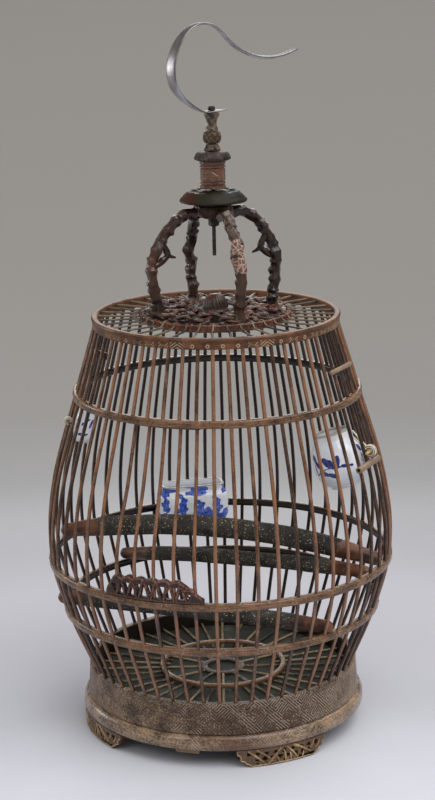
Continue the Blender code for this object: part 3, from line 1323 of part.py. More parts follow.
def main():
    remove_scene_objects()
    named_collection(COLLECTION)
    named_collection(CUTTER_COLLECTION)

    bamboo_bar = principled("bamboo_bar", (0.205, 0.085, 0.045), 0.45)
    hoop_wood = principled("hoop_wood", (0.26, 0.135, 0.07), 0.5)
    base_wood = principled("base_wood", (0.30, 0.215, 0.14), 0.6)
    tray_paint = principled("tray_board", (0.09, 0.10, 0.085), 0.75)
    carved_wood = principled("carved_wood", (0.17, 0.07, 0.05), 0.42)
    dark_wood = principled("dark_wood", (0.065, 0.045, 0.035), 0.32)
    brass = principled("old_brass", (0.30, 0.22, 0.13), 0.42, 0.75)
    iron = principled("iron_rod", (0.10, 0.09, 0.085), 0.5, 0.85)
    steel = principled("polished_steel", (0.62, 0.63, 0.66), 0.22, 1.0)
    porcelain = principled("porcelain", (0.80, 0.82, 0.86), 0.14)
    branch = principled("perch_branch", (0.115, 0.105, 0.09), 0.85)
    pale_bamboo = principled("pale_bamboo", (0.50, 0.36, 0.20), 0.5)

    clear_bars, clear_upper_bars = build_bar_clearances()
    build_wall_sectors(bamboo_bar)
    build_hoops(hoop_wood, clear_bars, clear_upper_bars)
    foot_ring = build_base(base_wood, tray_paint)
    build_feet(base_wood)
    build_turn_button(base_wood, foot_ring)
    build_top_ring(hoop_wood)
    build_crown_platform(hoop_wood, carved_wood)
    build_crown_legs(dark_wood)
    build_neck(carved_wood, dark_wood, brass, iron)
    build_hook(steel)
    build_door(bamboo_bar, carved_wood)
    build_perches(branch, clear_bars)
    build_pots(porcelain, bamboo_bar, pale_bamboo)
    build_fittings(bamboo_bar, dark_wood)


main()
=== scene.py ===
"""Looks of the bamboo bird cage: its bars, hoops, carving, pots and studio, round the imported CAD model.

Metres, +Z up, the front of the cage faces -Y. Azimuths are degrees from +X towards +Y.
"""

import json
import logging
import math
import random
from collections.abc import Callable, Sequence
from dataclasses import dataclass, field
from enum import Enum

import bmesh
import bpy
import numpy as np
from mathutils import Matrix, Vector, noise

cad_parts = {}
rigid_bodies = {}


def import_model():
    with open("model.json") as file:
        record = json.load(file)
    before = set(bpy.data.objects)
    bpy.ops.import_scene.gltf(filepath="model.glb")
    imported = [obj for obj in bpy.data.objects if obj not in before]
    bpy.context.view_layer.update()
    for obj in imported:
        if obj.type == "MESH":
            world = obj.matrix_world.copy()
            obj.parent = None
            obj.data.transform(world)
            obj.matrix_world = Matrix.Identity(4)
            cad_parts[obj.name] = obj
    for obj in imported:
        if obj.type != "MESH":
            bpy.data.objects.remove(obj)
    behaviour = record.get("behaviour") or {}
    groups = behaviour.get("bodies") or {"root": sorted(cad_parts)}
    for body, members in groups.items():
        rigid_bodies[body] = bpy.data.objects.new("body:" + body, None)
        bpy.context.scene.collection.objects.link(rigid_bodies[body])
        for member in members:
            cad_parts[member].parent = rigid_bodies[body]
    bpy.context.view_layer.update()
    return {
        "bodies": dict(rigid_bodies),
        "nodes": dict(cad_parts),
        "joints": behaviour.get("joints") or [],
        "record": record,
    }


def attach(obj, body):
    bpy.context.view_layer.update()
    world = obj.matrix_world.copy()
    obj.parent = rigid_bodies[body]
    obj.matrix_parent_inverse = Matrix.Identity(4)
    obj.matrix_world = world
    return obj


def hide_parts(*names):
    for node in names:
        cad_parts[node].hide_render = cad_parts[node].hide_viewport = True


LOG = logging.getLogger("bird_cage")
CAGE = "cage"
RUN = "run"
TONE = "tone"
# Mesh value of painted shade, 0 to 1; on pots it marks bare, unglazed ware.
SHADE_AND_BARE = "shade_and_bare"
UP = (0, 0, 1)
SOLID_BAR = 0.0017
BAR_CLEARANCE = 0.0003
MM = 1000

Array = np.ndarray
Colour = tuple[float, float, float]
Pair = tuple[float, float]
Triple = tuple[float, float, float]
Route = Sequence[Sequence[float]]
Socket = bpy.types.NodeSocket
Swell = Callable[[Array, Array], Array]
Ripple = Callable[[Array, Array, Array], tuple[Array, Array]]


class Ends(Enum):
    """How a rod ends."""

    ROUND = "round"
    FLAT = "flat"


class Cut(Enum):
    """Which pattern is cut into a surface."""

    NONE = "none"
    FRET = "fret"
    SCATTER = "scatter"
    CARVING = "carving"


class Grain(Enum):
    """Where the grain of a piece runs."""

    ALONG = "along the piece's own run"
    SOLID = "through the solid"


class Lamp(Enum):
    """What kind of lamp lights the cage."""

    SUN = "SUN"
    AREA = "AREA"


def rgb(red: int, green: int, blue: int) -> Colour:
    """Turn a colour written for the screen into light values.

    Args:
        red: Red, 0 to 255.
        green: Green, 0 to 255.
        blue: Blue, 0 to 255.

    Returns:
        The three light values, 0 to 1.
    """
    shares = (value / 255.0 for value in (red, green, blue))
    return tuple(share / 12.92 if share < 0.04045 else ((share + 0.055) / 1.055) ** 2.4 for share in shares)


def polar(radius: float, azimuth_deg: float, z: float = 0.0) -> Vector:
    """Point at a distance from the cage's axis, an azimuth and a height."""
    angle = math.radians(azimuth_deg)
    return Vector((radius * math.cos(angle), radius * math.sin(angle), z))


def spun(angle_deg: float, axis: str = "Z") -> Matrix:
    """Matrix of a turn about an axis."""
    return Matrix.Rotation(math.radians(angle_deg), 4, axis)


def moved(points: Array, matrix: Matrix) -> Array:
    """Points carried along by a matrix."""
    table = np.array(matrix, float)
    return points @ table[:3, :3].T + table[:3, 3]


def lengths_along(points: Array) -> Array:
    """Length along a line from its first point to each of its points."""
    return np.concatenate([[0.0], np.cumsum(np.linalg.norm(np.diff(points, axis=0), axis=1))])


def paired(first: Array, second: Array) -> Array:
    """Two tables of numbers, spread to one size and joined as pairs."""
    return np.stack(np.broadcast_arrays(first, second), axis=-1)


def bell(value: Array, middle: float, width: float) -> Array:
    """Smooth rise to 1 round a middle."""
    return np.exp(-(((value - middle) / width) ** 2))


def leaf_girths(girth: float, start: float, end: float, count: int) -> Array:
    """Radii that swell and thin like a leaf, as a stretch of half a wave."""
    return girth * np.sin(np.pi * np.linspace(start, end, count))


def flat_sides(angle: Array, sides: int) -> Array:
    """Share of the radius that a regular prism has left at an angle."""
    part = angle % (math.tau / sides) - math.pi / sides
    return math.cos(math.pi / sides) / np.cos(part)


def add_object(name: str, data: bpy.types.ID) -> bpy.types.Object:
    """New object, linked to the scene.

    Args:
        name: Its name.
        data: Its mesh, curve, camera or light.

    Returns:
        The object.
    """
    made = bpy.data.objects.new(name, data)
    bpy.context.scene.collection.objects.link(made)
    return made


def smooth_line(corners: Route, spacing: float) -> Array:
    """Smooth line through corners, as points a spacing apart.

    Args:
        corners: Points that the line passes, in two or three dimensions.
        spacing: Distance between the points made.

    Returns:
        The points, one to a row.
    """
    points = np.asarray(corners, float)
    steps = np.linalg.norm(np.diff(points, axis=0), axis=1)
    slopes = np.diff(points, axis=0) / steps[:, None]
    weights = (steps[:-1] + steps[1:])[:, None]
    inner = (slopes[:-1] * steps[1:, None] + slopes[1:] * steps[:-1, None]) / weights
    tangents = np.vstack([slopes[:1], inner, slopes[-1:]])
    rows = []
    for first, second, leave, arrive, step in zip(points, points[1:], tangents, tangents[1:], steps):
        count = max(1, round(step / spacing))
        t = (np.arange(count) / count)[:, None]
        row = (2 * t**3 - 3 * t**2 + 1) * first + (t**3 - 2 * t**2 + t) * step * leave
        rows.append(row + (3 * t**2 - 2 * t**3) * second + (t**3 - t**2) * step * arrive)
    return np.vstack([*rows, points[-1:]])


def rounded(corners: Route, radius: float, steps: int = 3) -> list[Pair]:
    """Closed outline with each corner turned into an arc.

    Args:
        corners: Corners of the outline, in order.
        radius: Length taken off each side of a corner.
        steps: Points in each arc, less one.

    Returns:
        The outline's points.
    """
    points = [Vector(corner) for corner in corners]
    outline = []
    for number, corner in enumerate(points):
        before = points[number - 1] - corner
        after = points[(number + 1) % len(points)] - corner
        cut = min(radius, before.length / 2.05, after.length / 2.05)
        start, end = corner + before.normalized() * cut, corner + after.normalized() * cut
        for step in range(steps + 1):
            t = step / steps
            place = start * (1 - t) ** 2 + corner * 2 * t * (1 - t) + end * t**2
            outline.append((place.x, place.y))
    return outline


def rounded_box(wide: Pair, tall: Pair, radius: float, steps: int = 3) -> list[Pair]:
    """Rectangle with round corners, from its two radii and its two heights."""
    (inner, outer), (low, high) = wide, tall
    return rounded([(inner, low), (outer, low), (outer, high), (inner, high)], radius, steps)


def curl(centre: Pair, size: float, start_deg: float, turns: float) -> Array:
    """Flat spiral that winds in to its centre.

    Args:
        centre: Its centre.
        size: Its first radius.
        start_deg: Direction of its outer end.
        turns: Turns that it makes, negative for clockwise.

    Returns:
        Its points, from the outer end.
    """
    share = np.linspace(0, 1, max(10, int(abs(turns) * 22)))
    radius = size * (1 - 0.82 * share)
    angle = math.radians(start_deg) + turns * math.tau * share
    return np.stack([centre[0] + radius * np.cos(angle), centre[1] + radius * np.sin(angle)], axis=1)


class Shell:
    """Gathers rods, turned shapes and grids into one mesh, with a run in metres, a tone and a painted shade,
    which on pots marks bare ware.
    """

    def __init__(self) -> None:
        """Start with nothing gathered."""
        self.points: list[Sequence[float]] = []
        self.faces: list[list[int]] = []
        self.runs: list[Pair] = []
        self.tones: list[float] = []
        self.shade_and_bare_values: list[float] = []

    def grid(
        self, points: Array, runs: Array, wrap: tuple[bool, bool] = (False, True), caps: bool = False,
        tone: float | Array = 0.5, shade_and_bare: Array | None = None,
    ) -> None:
        """Add a grid of points as quads.

        Args:
            points: Points, as rows by columns by three.
            runs: Run of each point, with one more row or column where the grid wraps.
            wrap: Whether the rows and the columns close on themselves.
            caps: Whether the first and the last row are filled.
            tone: Tone, 0 to 1, of this stretch or of each point.
            shade_and_bare: Painted shade of each point, 0 where it is lit and 1 in a recess or on a side
                turned from the light; on pots, 1 marks bare ware.
        """
        rows, columns = points.shape[:2]
        base = len(self.points)
        self.points.extend(points.reshape(-1, 3).tolist())
        self.tones.extend(np.broadcast_to(tone, (rows, columns)).reshape(-1).tolist())
        self.shade_and_bare_values.extend((np.zeros(rows * columns) if shade_and_bare is None else shade_and_bare.reshape(-1)).tolist())
        for row in range(rows if wrap[0] else rows - 1):
            for column in range(columns if wrap[1] else columns - 1):
                corners = ((row, column), (row, column + 1), (row + 1, column + 1), (row + 1, column))
                self.faces.append([base + (r % rows) * columns + c % columns for r, c in corners])
                self.runs.extend(tuple(runs[corner]) for corner in corners)
        if caps:
            for row in (0, rows - 1):
                self.faces.append([base + row * columns + column for column in range(columns)])
                self.runs.extend(tuple(runs[row, column]) for column in range(columns))

    def rod(
        self, route: Route, radius: float | Sequence[float], sides: int = 10, ends: Ends = Ends.ROUND,
        flat: Pair = (1.0, 1.0), up: Sequence[float] | None = None, tone: float = 0.5,
        swell: Swell | None = None, inner_axis: bool = False,
    ) -> None:
        """Add a rod along a route.

        Args:
            route: Points of its centre line.
            radius: Its radius, or one for each point.
            sides: Faces round it.
            ends: How it ends.
            flat: Shares of the radius across and along the up direction.
            up: Direction that the flat's second share lies along; none for a round rod.
            tone: Tone of this rod, 0 to 1.
            swell: Share by which the radius grows, from the length along and the angle round.
            inner_axis: Whether painted shade darkens the side that faces the cage's axis.
        """
        line = np.asarray(route, float)
        samples = along = lengths_along(line)
        radii = np.broadcast_to(np.asarray(radius, float), (len(line),))
        length = along[-1]
        if ends is Ends.ROUND:
            first, last = min(radii[0], length / 3), min(radii[-1], length / 3)
            tips = np.array([0.0, 0.04, 0.16, 0.36, 0.65])
            middle = along[(along > first) & (along < length - last)]
            start, stop = tips * first, (length - tips * last)[::-1]
            samples = np.concatenate([start, [first], middle, [length - last], stop])
        line = np.stack([np.interp(samples, along, line[:, axis]) for axis in range(3)], axis=1)
        radii = np.interp(samples, along, radii)
        if ends is Ends.ROUND:
            near = np.minimum(samples / first, (length - samples) / last).clip(0.02, 1.0)
            radii = radii * np.sqrt(1 - (1 - near) ** 2)
        across, lift = self.sections(line, up)
        angles = np.linspace(0, math.tau, sides, endpoint=False)
        size = radii[:, None] * np.ones(sides)
        if swell is not None:
            size = size * (1 + swell(samples[:, None], angles[None, :]))
        ring_a = size * np.cos(angles) * flat[0]
        ring_b = size * np.sin(angles) * flat[1]
        points = line[:, None] + ring_a[..., None] * across[:, None] + ring_b[..., None] * lift[:, None]
        around = np.linspace(0, math.tau * float(np.mean(radii)), sides + 1)
        shade_and_bare = None
        # Painted shade: the side of the rod turned towards the cage's axis, inside the cage, is darkened up
        # to full shade.
        if inner_axis:
            out = points[..., :2] - line[:, None, :2]
            axis = line[:, None, :2] / np.linalg.norm(line[:, None, :2], axis=-1, keepdims=True)
            facing = (out * axis).sum(-1) / np.linalg.norm(points - line[:, None], axis=-1).clip(1e-9)
            shade_and_bare = (0.5 - 0.9 * facing).clip(0, 1)
        self.grid(points, paired(samples[:, None], around[None, :]), (False, True), True, tone, shade_and_bare)

    @staticmethod
    def sections(line: Array, up: Sequence[float] | None) -> tuple[Array, Array]:
        """Directions of a rod's sections, without a twist.

        Args:
            line: Its centre line.
            up: Direction that the second ones keep to; none lets them follow the line.

        Returns:
            At each point, the directions across the line and upwards.
        """
        tangents = np.gradient(line, axis=0)
        tangents /= np.linalg.norm(tangents, axis=1)[:, None].clip(1e-12)
        lift = np.empty_like(tangents)
        sideways = np.cross(tangents[0], (0.0, 0.0, 1.0) if abs(tangents[0][2]) < 0.9 else (1.0, 0.0, 0.0))
        reference = np.asarray(sideways if up is None else up, float)
        for number, tangent in enumerate(tangents):
            raised = reference - tangent * float(reference @ tangent)
            lift[number] = raised / max(float(np.linalg.norm(raised)), 1e-9)
            if up is None:
                reference = lift[number]
        return np.cross(tangents, lift), lift

    def turn(
        self, outline: Route, steps: int, closed: bool = True, tone: float | Array = 0.5,
        ripple: Ripple | None = None, place: Matrix | None = None, shade_and_bare: Swell | None = None,
    ) -> None:
        """Add a shape turned about the Z axis.

        Args:
            outline: (radius, height) points.
            steps: Faces round the turn.
            closed: Whether the outline closes on itself.
            tone: Tone, 0 to 1, of this shape or of each point.
            ripple: Gives the radius and the height of each point from its angle, radius and height.
            place: Matrix that puts the turned shape in its place.
            shade_and_bare: Gives each point's painted shade from its angle and its place in the outline; on
                pots it marks bare ware.
        """
        profile = np.asarray(outline, float)
        angles = np.linspace(0, math.tau, steps, endpoint=False)[:, None]
        radii, heights = (np.tile(profile[:, axis][None, :], (steps, 1)) for axis in (0, 1))
        if ripple is not None:
            radii, heights = ripple(angles, radii, heights)
        points = np.stack([radii * np.cos(angles), radii * np.sin(angles), heights], axis=-1)
        if place is not None:
            points = moved(points, place)
        around = np.linspace(0, math.tau * float(profile[:, 0].max()), steps + 1)
        across = lengths_along(np.vstack([profile, profile[:1]]))
        shade_and_bare_grid = None
        if shade_and_bare is not None:
            share = np.arange(len(profile))[None, :] / len(profile)
            shade_and_bare_grid = np.broadcast_to(shade_and_bare(angles, share), radii.shape)
        self.grid(points, paired(around[:, None], across[None, :]), (True, closed), False, tone, shade_and_bare_grid)

    def mesh(self, name: str, sharp_deg: float = 40.0) -> bpy.types.Mesh:
        """Make the gathered mesh.

        Args:
            name: Its name.
            sharp_deg: Angle above which an edge stays sharp.

        Returns:
            The mesh, welded and with its faces outwards.
        """
        mesh = bpy.data.meshes.new(name)
        mesh.from_pydata(self.points, [], self.faces)
        layer = mesh.uv_layers.new(name=RUN)
        layer.data.foreach_set("uv", np.asarray(self.runs, np.float32).ravel())
        for label, values in ((TONE, self.tones), (SHADE_AND_BARE, self.shade_and_bare_values)):
            numbers = mesh.attributes.new(label, "FLOAT", "POINT")
            numbers.data.foreach_set("value", np.asarray(values, np.float32))
        made = bmesh.new()
        made.from_mesh(mesh)
        bmesh.ops.remove_doubles(made, verts=made.verts, dist=2e-6)
        bmesh.ops.recalc_face_normals(made, faces=made.faces)
        made.to_mesh(mesh)
        made.free()
        mesh.shade_smooth()
        mesh.set_sharp_from_angle(angle=math.radians(sharp_deg))
        return mesh


@dataclass(frozen=True, eq=False)
class Signal:
    """What a node gives out, for plain arithmetic with numbers and other signals."""

    sheet: "Sheet"
    socket: Socket

    def __add__(self, other: object) -> "Signal":
        """Sum."""
        return self.sheet.math("ADD", self, other)

    def __sub__(self, other: object) -> "Signal":
        """Difference."""
        return self.sheet.math("SUBTRACT", self, other)

    def __rsub__(self, other: object) -> "Signal":
        """Difference from a number."""
        return self.sheet.math("SUBTRACT", other, self)

    def __mul__(self, other: object) -> "Signal":
        """Product."""
        return self.sheet.math("MULTIPLY", self, other)

    def __truediv__(self, other: object) -> "Signal":
        """Quotient."""
        return self.sheet.math("DIVIDE", self, other)

    def __mod__(self, other: object) -> "Signal":
        """Remainder."""
        return self.sheet.math("FLOORED_MODULO", self, other)

    def __lt__(self, other: object) -> "Signal":
        """1 where it is less, 0 elsewhere."""
        return self.sheet.math("LESS_THAN", self, other)

    def __gt__(self, other: object) -> "Signal":
        """1 where it is more, 0 elsewhere."""
        return self.sheet.math("GREATER_THAN", self, other)

    def __abs__(self) -> "Signal":
        """Size without its sign."""
        return self.sheet.math("ABSOLUTE", self)

    def fract(self) -> "Signal":
        """What is over the whole number below."""
        return self.sheet.math("FRACT", self)

    def floor(self) -> "Signal":
        """The whole number below."""
        return self.sheet.math("FLOOR", self)

    def most(self, other: object) -> "Signal":
        """The larger of two."""
        return self.sheet.math("MAXIMUM", self, other)


class Sheet:
    """The nodes of one material or world, wired by short calls."""

    def __init__(self, owner: bpy.types.Material | bpy.types.World) -> None:
        """Turn the owner's nodes on.

        Args:
            owner: The material or world.
        """
        owner.use_nodes = True
        self.owner = owner
        self.tree = owner.node_tree

    def feed(self, target: Socket, value: object) -> None:
        """Wire a signal to a node's input, or set the input to a plain value.

        Args:
            target: The input.
            value: A signal, a number, a colour or a vector.
        """
        if isinstance(value, Signal):
            self.tree.links.new(value.socket, target)
        elif isinstance(value, tuple) and target.type == "RGBA":
            target.default_value = (*value, 1.0)
        else:
            target.default_value = value

    def add(
        self, kind: str, inputs: dict[str | int, object] | None = None, **settings: object
    ) -> bpy.types.Node:
        """Add a node.

        Args:
            kind: Its type, less the leading ShaderNode.
            inputs: Values or signals for its inputs, by name or number.
            **settings: Properties of the node.

        Returns:
            The node.
        """
        made = self.tree.nodes.new("ShaderNode" + kind)
        for name, value in settings.items():
            setattr(made, name, value)
        for name, value in (inputs or {}).items():
            self.feed(made.inputs[name], value)
        return made

    def out(self, kind: str, inputs: dict | None = None, output: str | int = 0, **settings: object) -> Signal:
        """Signal of one output of a new node, which add makes from the rest."""
        return Signal(self, self.add(kind, inputs, **settings).outputs[output])

    def math(self, operation: str, first: object, second: object = 0.0) -> Signal:
        """Result of a Math node on one or two values."""
        return self.out("Math", {0: first, 1: second}, operation=operation)

    def spread(
        self, value: object, low: float, high: float, to_low: float = 0.0, to_high: float = 1.0,
    ) -> Signal:
        """Map a range of a value smoothly onto another, held at its ends."""
        inputs = {"Value": value, "From Min": low, "From Max": high, "To Min": to_low, "To Max": to_high}
        return self.out("MapRange", inputs, "Result", interpolation_type="SMOOTHSTEP")

    def mix(self, share: object, first: object, second: object) -> Signal:
        """Mix of two colours by a share."""
        return self.out("Mix", {0: share, 6: first, 7: second}, 2, data_type="RGBA")

    def blend(self, share: object, first: object, second: object) -> Signal:
        """Mix of two numbers by a share."""
        return self.out("Mix", {0: share, 2: first, 3: second}, data_type="FLOAT")

    def solid(self, stretch: Triple | None = None) -> Signal:
        """Place in the solid, stretched by shares along the three axes where they are given."""
        place = self.out("TexCoord", None, "Object")
        return self.out("Mapping", {"Vector": place, "Scale": stretch}) if stretch else place

    def run(self) -> tuple[Signal, Signal]:
        """Length along and across the piece's own run, in metres."""
        parts = self.add("SeparateXYZ", {0: self.out("UVMap", uv_map=RUN)})
        return Signal(self, parts.outputs[0]), Signal(self, parts.outputs[1])

    def value_of(self, label: str) -> Signal:
        """A number kept on the mesh's points."""
        return self.out("Attribute", None, "Fac", attribute_name=label)

    def distance(self, place: Signal, point: Triple) -> Signal:
        """Distance of a place from a point."""
        return self.out("VectorMath", {0: place, 1: point}, "Value", operation="DISTANCE")

    def noise(self, place: Signal, pitch: float, detail: float = 3.0, rough: float = 0.55) -> Signal:
        """Noise with a given pitch in metres."""
        inputs = {"Vector": place, "Scale": 1.0 / pitch, "Detail": detail, "Roughness": rough}
        return self.out("TexNoise", inputs)

    def cells(self, place: Signal, pitch: float, feature: str = "F1") -> Signal:
        """Distance in a pattern of cells with a given pitch in metres."""
        return self.out("TexVoronoi", {"Vector": place, "Scale": 1.0 / pitch}, "Distance", feature=feature)

    def cuts(self, length: Signal, pitch: float, edge: Pair = (0.21, 0.09)) -> Signal:
        """Thin parallel cuts across a length: 1 in a cut, falling between two shares of the pitch."""
        return self.spread(abs((length / pitch).fract() - 0.5), *edge)

    def finish(self, height: Signal | None = None, **inputs: object) -> bpy.types.Material:
        """Set the shader's sockets and hand over the material.

        Args:
            height: Height in metres by which the surface is raised.
            **inputs: Values by socket name, with _ for a space.

        Returns:
            The material.
        """
        shader = self.tree.nodes["Principled BSDF"]
        if height is not None:
            bump = self.out("Bump", {"Height": height, "Distance": 1.0, "Strength": 1.0})
            self.feed(shader.inputs["Normal"], bump)
        for name, value in inputs.items():
            self.feed(shader.inputs[name.replace("_", " ")], value)
        return self.owner


@dataclass(frozen=True)
class Finish:
    """A named finish that can build its material."""

    name: str

    def sheet(self) -> Sheet:
        """Sheet of a new material with the finish's name."""
        return Sheet(bpy.data.materials.new(self.name))

    def material(self) -> bpy.types.Material:
        """Build the material, here a plain one."""
        return self.sheet().finish()


@dataclass(frozen=True)
class WoodFinish(Finish):
    """Bamboo or hardwood with grain, tones, dust, a pattern cut into it, painted shade in the cuts and where
    the mesh marks shade, and a pale fill in the cuts that is partly a painted highlight.
    """

    dark: Colour
    light: Colour
    dust: Colour = rgb(150, 140, 126)
    # Colour of the painted shade, in the cuts and where the mesh marks shade.
    painted_shade: Colour = rgb(26, 16, 12)
    dust_share: float = 0.3
    gloss: Pair = (0.34, 0.6)
    grain: Grain = Grain.ALONG
    coat: float = 0.12
    grain_pitch: float = 0.0008
    speckle: float = 0.2
    relief: float = 0.00006
    cut: Cut = Cut.NONE
    cut_pitch: float = 0.0016
    cut_depth: float = 0.00022
    cut_level: float = 0.0
    chalk: float = 0.5
    # Level along +X, with noise, from which the pale fill in the cuts starts; it grows towards the lit right
    # side as a painted highlight.
    chalk_highlight_from: float = 0.34
    bare_share: float = 0.0
    stipple: float = 0.0
    specular: float = 0.5
    blush: Colour | None = None
    blush_place: Triple = (0.012, -0.118, 0.045)
    blush_reach: float = 0.07

    def material(self) -> bpy.types.Material:
        """Build the material, with this finish's grain, dust and cuts, its painted shade and its painted
        highlight.

        Returns:
            The material.
        """
        sheet = self.sheet()
        place = sheet.solid()
        along, across = sheet.run()
        tone, shade_and_bare = sheet.value_of(TONE), sheet.value_of(SHADE_AND_BARE)
        if self.grain is Grain.ALONG:
            fibre_place = sheet.out("CombineXYZ", {0: along * 0.05, 1: across, 2: tone})
        else:
            fibre_place = sheet.solid((1.0, 1.0, 0.25))
        fibre = sheet.noise(fibre_place, self.grain_pitch, 4.0, 0.65)
        broad = sheet.noise(place, 0.017, 3.0)
        fine = sheet.noise(place, 0.0021, 4.0, 0.7)
        shade = fibre * 0.7 + broad * 0.6 + fine * self.speckle + (tone - 0.5) * 0.4
        middle = 0.65 + self.speckle / 2
        colour = sheet.mix(sheet.spread(shade, middle - 0.21, middle + 0.21), self.dark, self.light)
        if self.blush is not None:
            reach = self.blush_reach
            ragged = sheet.distance(place, self.blush_place) + (fine + broad) * (reach * 0.5)
            colour = sheet.mix(sheet.spread(ragged, reach * 0.7, reach * 1.4, 0.85, 0.0), colour, self.blush)
        patches = sheet.noise(place, 0.0095, 5.0, 0.7) * fine
        dust_and_highlight = sheet.spread(patches, 0.40 - self.dust_share * 0.35, 0.52 - self.dust_share * 0.25)
        dust_and_highlight = dust_and_highlight * (0.25 + self.dust_share)
        height = (fibre + fine) * self.relief
        if self.stipple:
            dots = sheet.spread(sheet.cells(place, 0.0021), 0.42, 0.12)
            dots = dots * sheet.spread(broad, 0.35, 0.6, 0.3, 1.0)
            colour = sheet.mix(dots * self.stipple, colour, self.dust)
            height = height + dots * 0.0002
        groove = self.groove(sheet, along, across, place)
        if groove is not None:
            height = height - groove * self.cut_depth
            # Painted shade in the cuts.
            colour = sheet.mix(groove * 0.8, colour, self.painted_shade)
            # Pale fill in the cuts: dust, plus a painted highlight where it grows towards +X, the side the
            # key lamp lights.
            sideways = sheet.noise(place, 0.014, 4.0) + sheet.out("SeparateXYZ", {0: place}) * 2.2
            chalk_and_highlight = sheet.spread(sideways, self.chalk_highlight_from, self.chalk_highlight_from + 0.32)
            dust_and_highlight = dust_and_highlight.most(groove * (chalk_and_highlight * self.chalk))
        colour = sheet.mix(dust_and_highlight, colour, self.dust)
        # Painted shade where the mesh marks it: inner sides, bores, notches and lower faces.
        colour = sheet.mix(shade_and_bare * 0.94, colour, self.painted_shade)
        rough = sheet.blend(dust_and_highlight.most(fibre * 0.4), *self.gloss)
        return sheet.finish(
            height, Base_Color=colour, Roughness=rough, Coat_Weight=self.coat, Coat_Roughness=0.22,
            Specular_IOR_Level=self.specular,
        )

    def groove(self, sheet: Sheet, along: Signal, across: Signal, place: Signal) -> Signal | None:
        """Build the pattern that is cut in.

        Args:
            sheet: The nodes.
            along: Length along the run.
            across: Length across the run.
            place: Place in the solid.

        Returns:
            1 in a cut and 0 beside it, or nothing where no pattern is cut.
        """
        if self.cut is Cut.NONE:
            return None
        if self.cut is Cut.CARVING:
            return sheet.spread(sheet.cells(place, self.cut_pitch * 2.2, "DISTANCE_TO_EDGE"), 0.16, 0.03)
        rising, falling = (sheet.cuts(slant, self.cut_pitch) for slant in (along + across, along - across))
        cell = self.cut_pitch * (2.55 if self.cut is Cut.FRET else 5.0)
        column, row = along / cell, across / cell
        if self.cut is Cut.FRET:
            shifted = (column * 0.6 + row.floor() * 0.5).floor()
            corner = sheet.out("CombineXYZ", {0: shifted, 1: row.floor()})
            worn = sheet.out("TexWhiteNoise", {"Vector": corner}, noise_dimensions="2D")
            woven = sheet.blend(shifted % 2.0, rising, falling) * sheet.spread(worn, 0.0, 0.8, 0.15, 1.0)
            broad = sheet.noise(place, 0.022, 3.0)
            return woven * sheet.spread(broad, self.bare_share, self.bare_share + 0.12)
        pick = sheet.out("TexWhiteNoise", {"W": column.floor()}, noise_dimensions="1D")
        bow = (column.fract() - 0.5) * cell
        level = across - self.cut_level
        away = abs(bow)
        reach = sheet.math("SQRT", bow * bow + level * level)
        half = self.cut_pitch * 1.15
        scroll = sheet.cuts(reach, self.cut_pitch) * (reach < half)
        triangles = falling * ((abs(level) < away * 0.8) * (away < cell * 0.34))
        chevron = sheet.cuts(away * 0.7 + level, self.cut_pitch)
        chosen = sheet.blend(pick > 0.3, scroll, triangles)
        chosen = sheet.blend(pick > 0.72, chosen, chevron)
        return chosen * (abs(level) < half)


@dataclass(frozen=True)
class MetalFinish(Finish):
    """Polished, aged or rusted metal."""

    bright: Colour
    dull: Colour
    metallic: float = 1.0
    gloss: Pair = (0.12, 0.3)
    patch_pitch: float = 0.01
    relief: float = 0.00001
    cut_pitch: float = 0.0

    def material(self) -> bpy.types.Material:
        """Build the material, with tarnish, fine scratches, and crossing cuts where it has them.

        Returns:
            The material.
        """
        sheet = self.sheet()
        patches = sheet.spread(sheet.noise(sheet.solid(), self.patch_pitch, 4.0, 0.65), 0.38, 0.66)
        scratch = sheet.noise(sheet.solid((1.0, 1.0, 0.08)), 0.0007, 2.0)
        height = scratch * self.relief
        colour = sheet.mix(patches, self.bright, self.dull)
        if self.cut_pitch:
            along, across = sheet.run()
            groove = sheet.cuts(along + across, self.cut_pitch, (0.2, 0.08))
            groove = groove.most(sheet.cuts(along - across, self.cut_pitch, (0.2, 0.08)))
            height = height - groove * 0.00018
            colour = sheet.mix(groove * 0.7, colour, rgb(30, 24, 16))
        rough = sheet.blend((patches + scratch) * 0.6, *self.gloss)
        return sheet.finish(height, Base_Color=colour, Roughness=rough, Metallic=self.metallic)


@dataclass(frozen=True)
class GlazeFinish(Finish):
    """Glazed porcelain, painted under the glaze where the mesh says so."""

    ink: Colour
    wash: Colour
    white: Colour = rgb(234, 235, 238)
    shadow: Colour = rgb(219, 223, 231)
    biscuit: tuple[Colour, Colour] = (rgb(192, 189, 182), rgb(150, 145, 137))

    def material(self) -> bpy.types.Material:
        """Build the material: white glaze with painted strokes, and bare ware where the mesh's shade_and_bare
        value marks it.

        Returns:
            The material.
        """
        sheet = self.sheet()
        place = sheet.solid()
        pooled = sheet.spread(sheet.noise(place, 0.0026, 4.0), 0.35, 0.65)
        ground = sheet.mix(sheet.spread(sheet.noise(place, 0.012, 2.0), 0.3, 0.7), self.white, self.shadow)
        paint = sheet.mix(pooled, self.ink, self.wash)
        colour = sheet.mix(sheet.spread(sheet.value_of(TONE), 0.35, 0.65), ground, paint)
        rim = sheet.spread(sheet.value_of(SHADE_AND_BARE), 0.4, 0.6)
        colour = sheet.mix(rim, colour, sheet.mix(sheet.noise(place, 0.0008, 3.0), *self.biscuit))
        height = sheet.noise(place, 0.006, 2.0) * 0.00012
        rough = sheet.blend(rim, 0.07, 0.6)
        return sheet.finish(height, Base_Color=colour, Roughness=rough, Coat_Weight=0.4, Coat_Roughness=0.04)


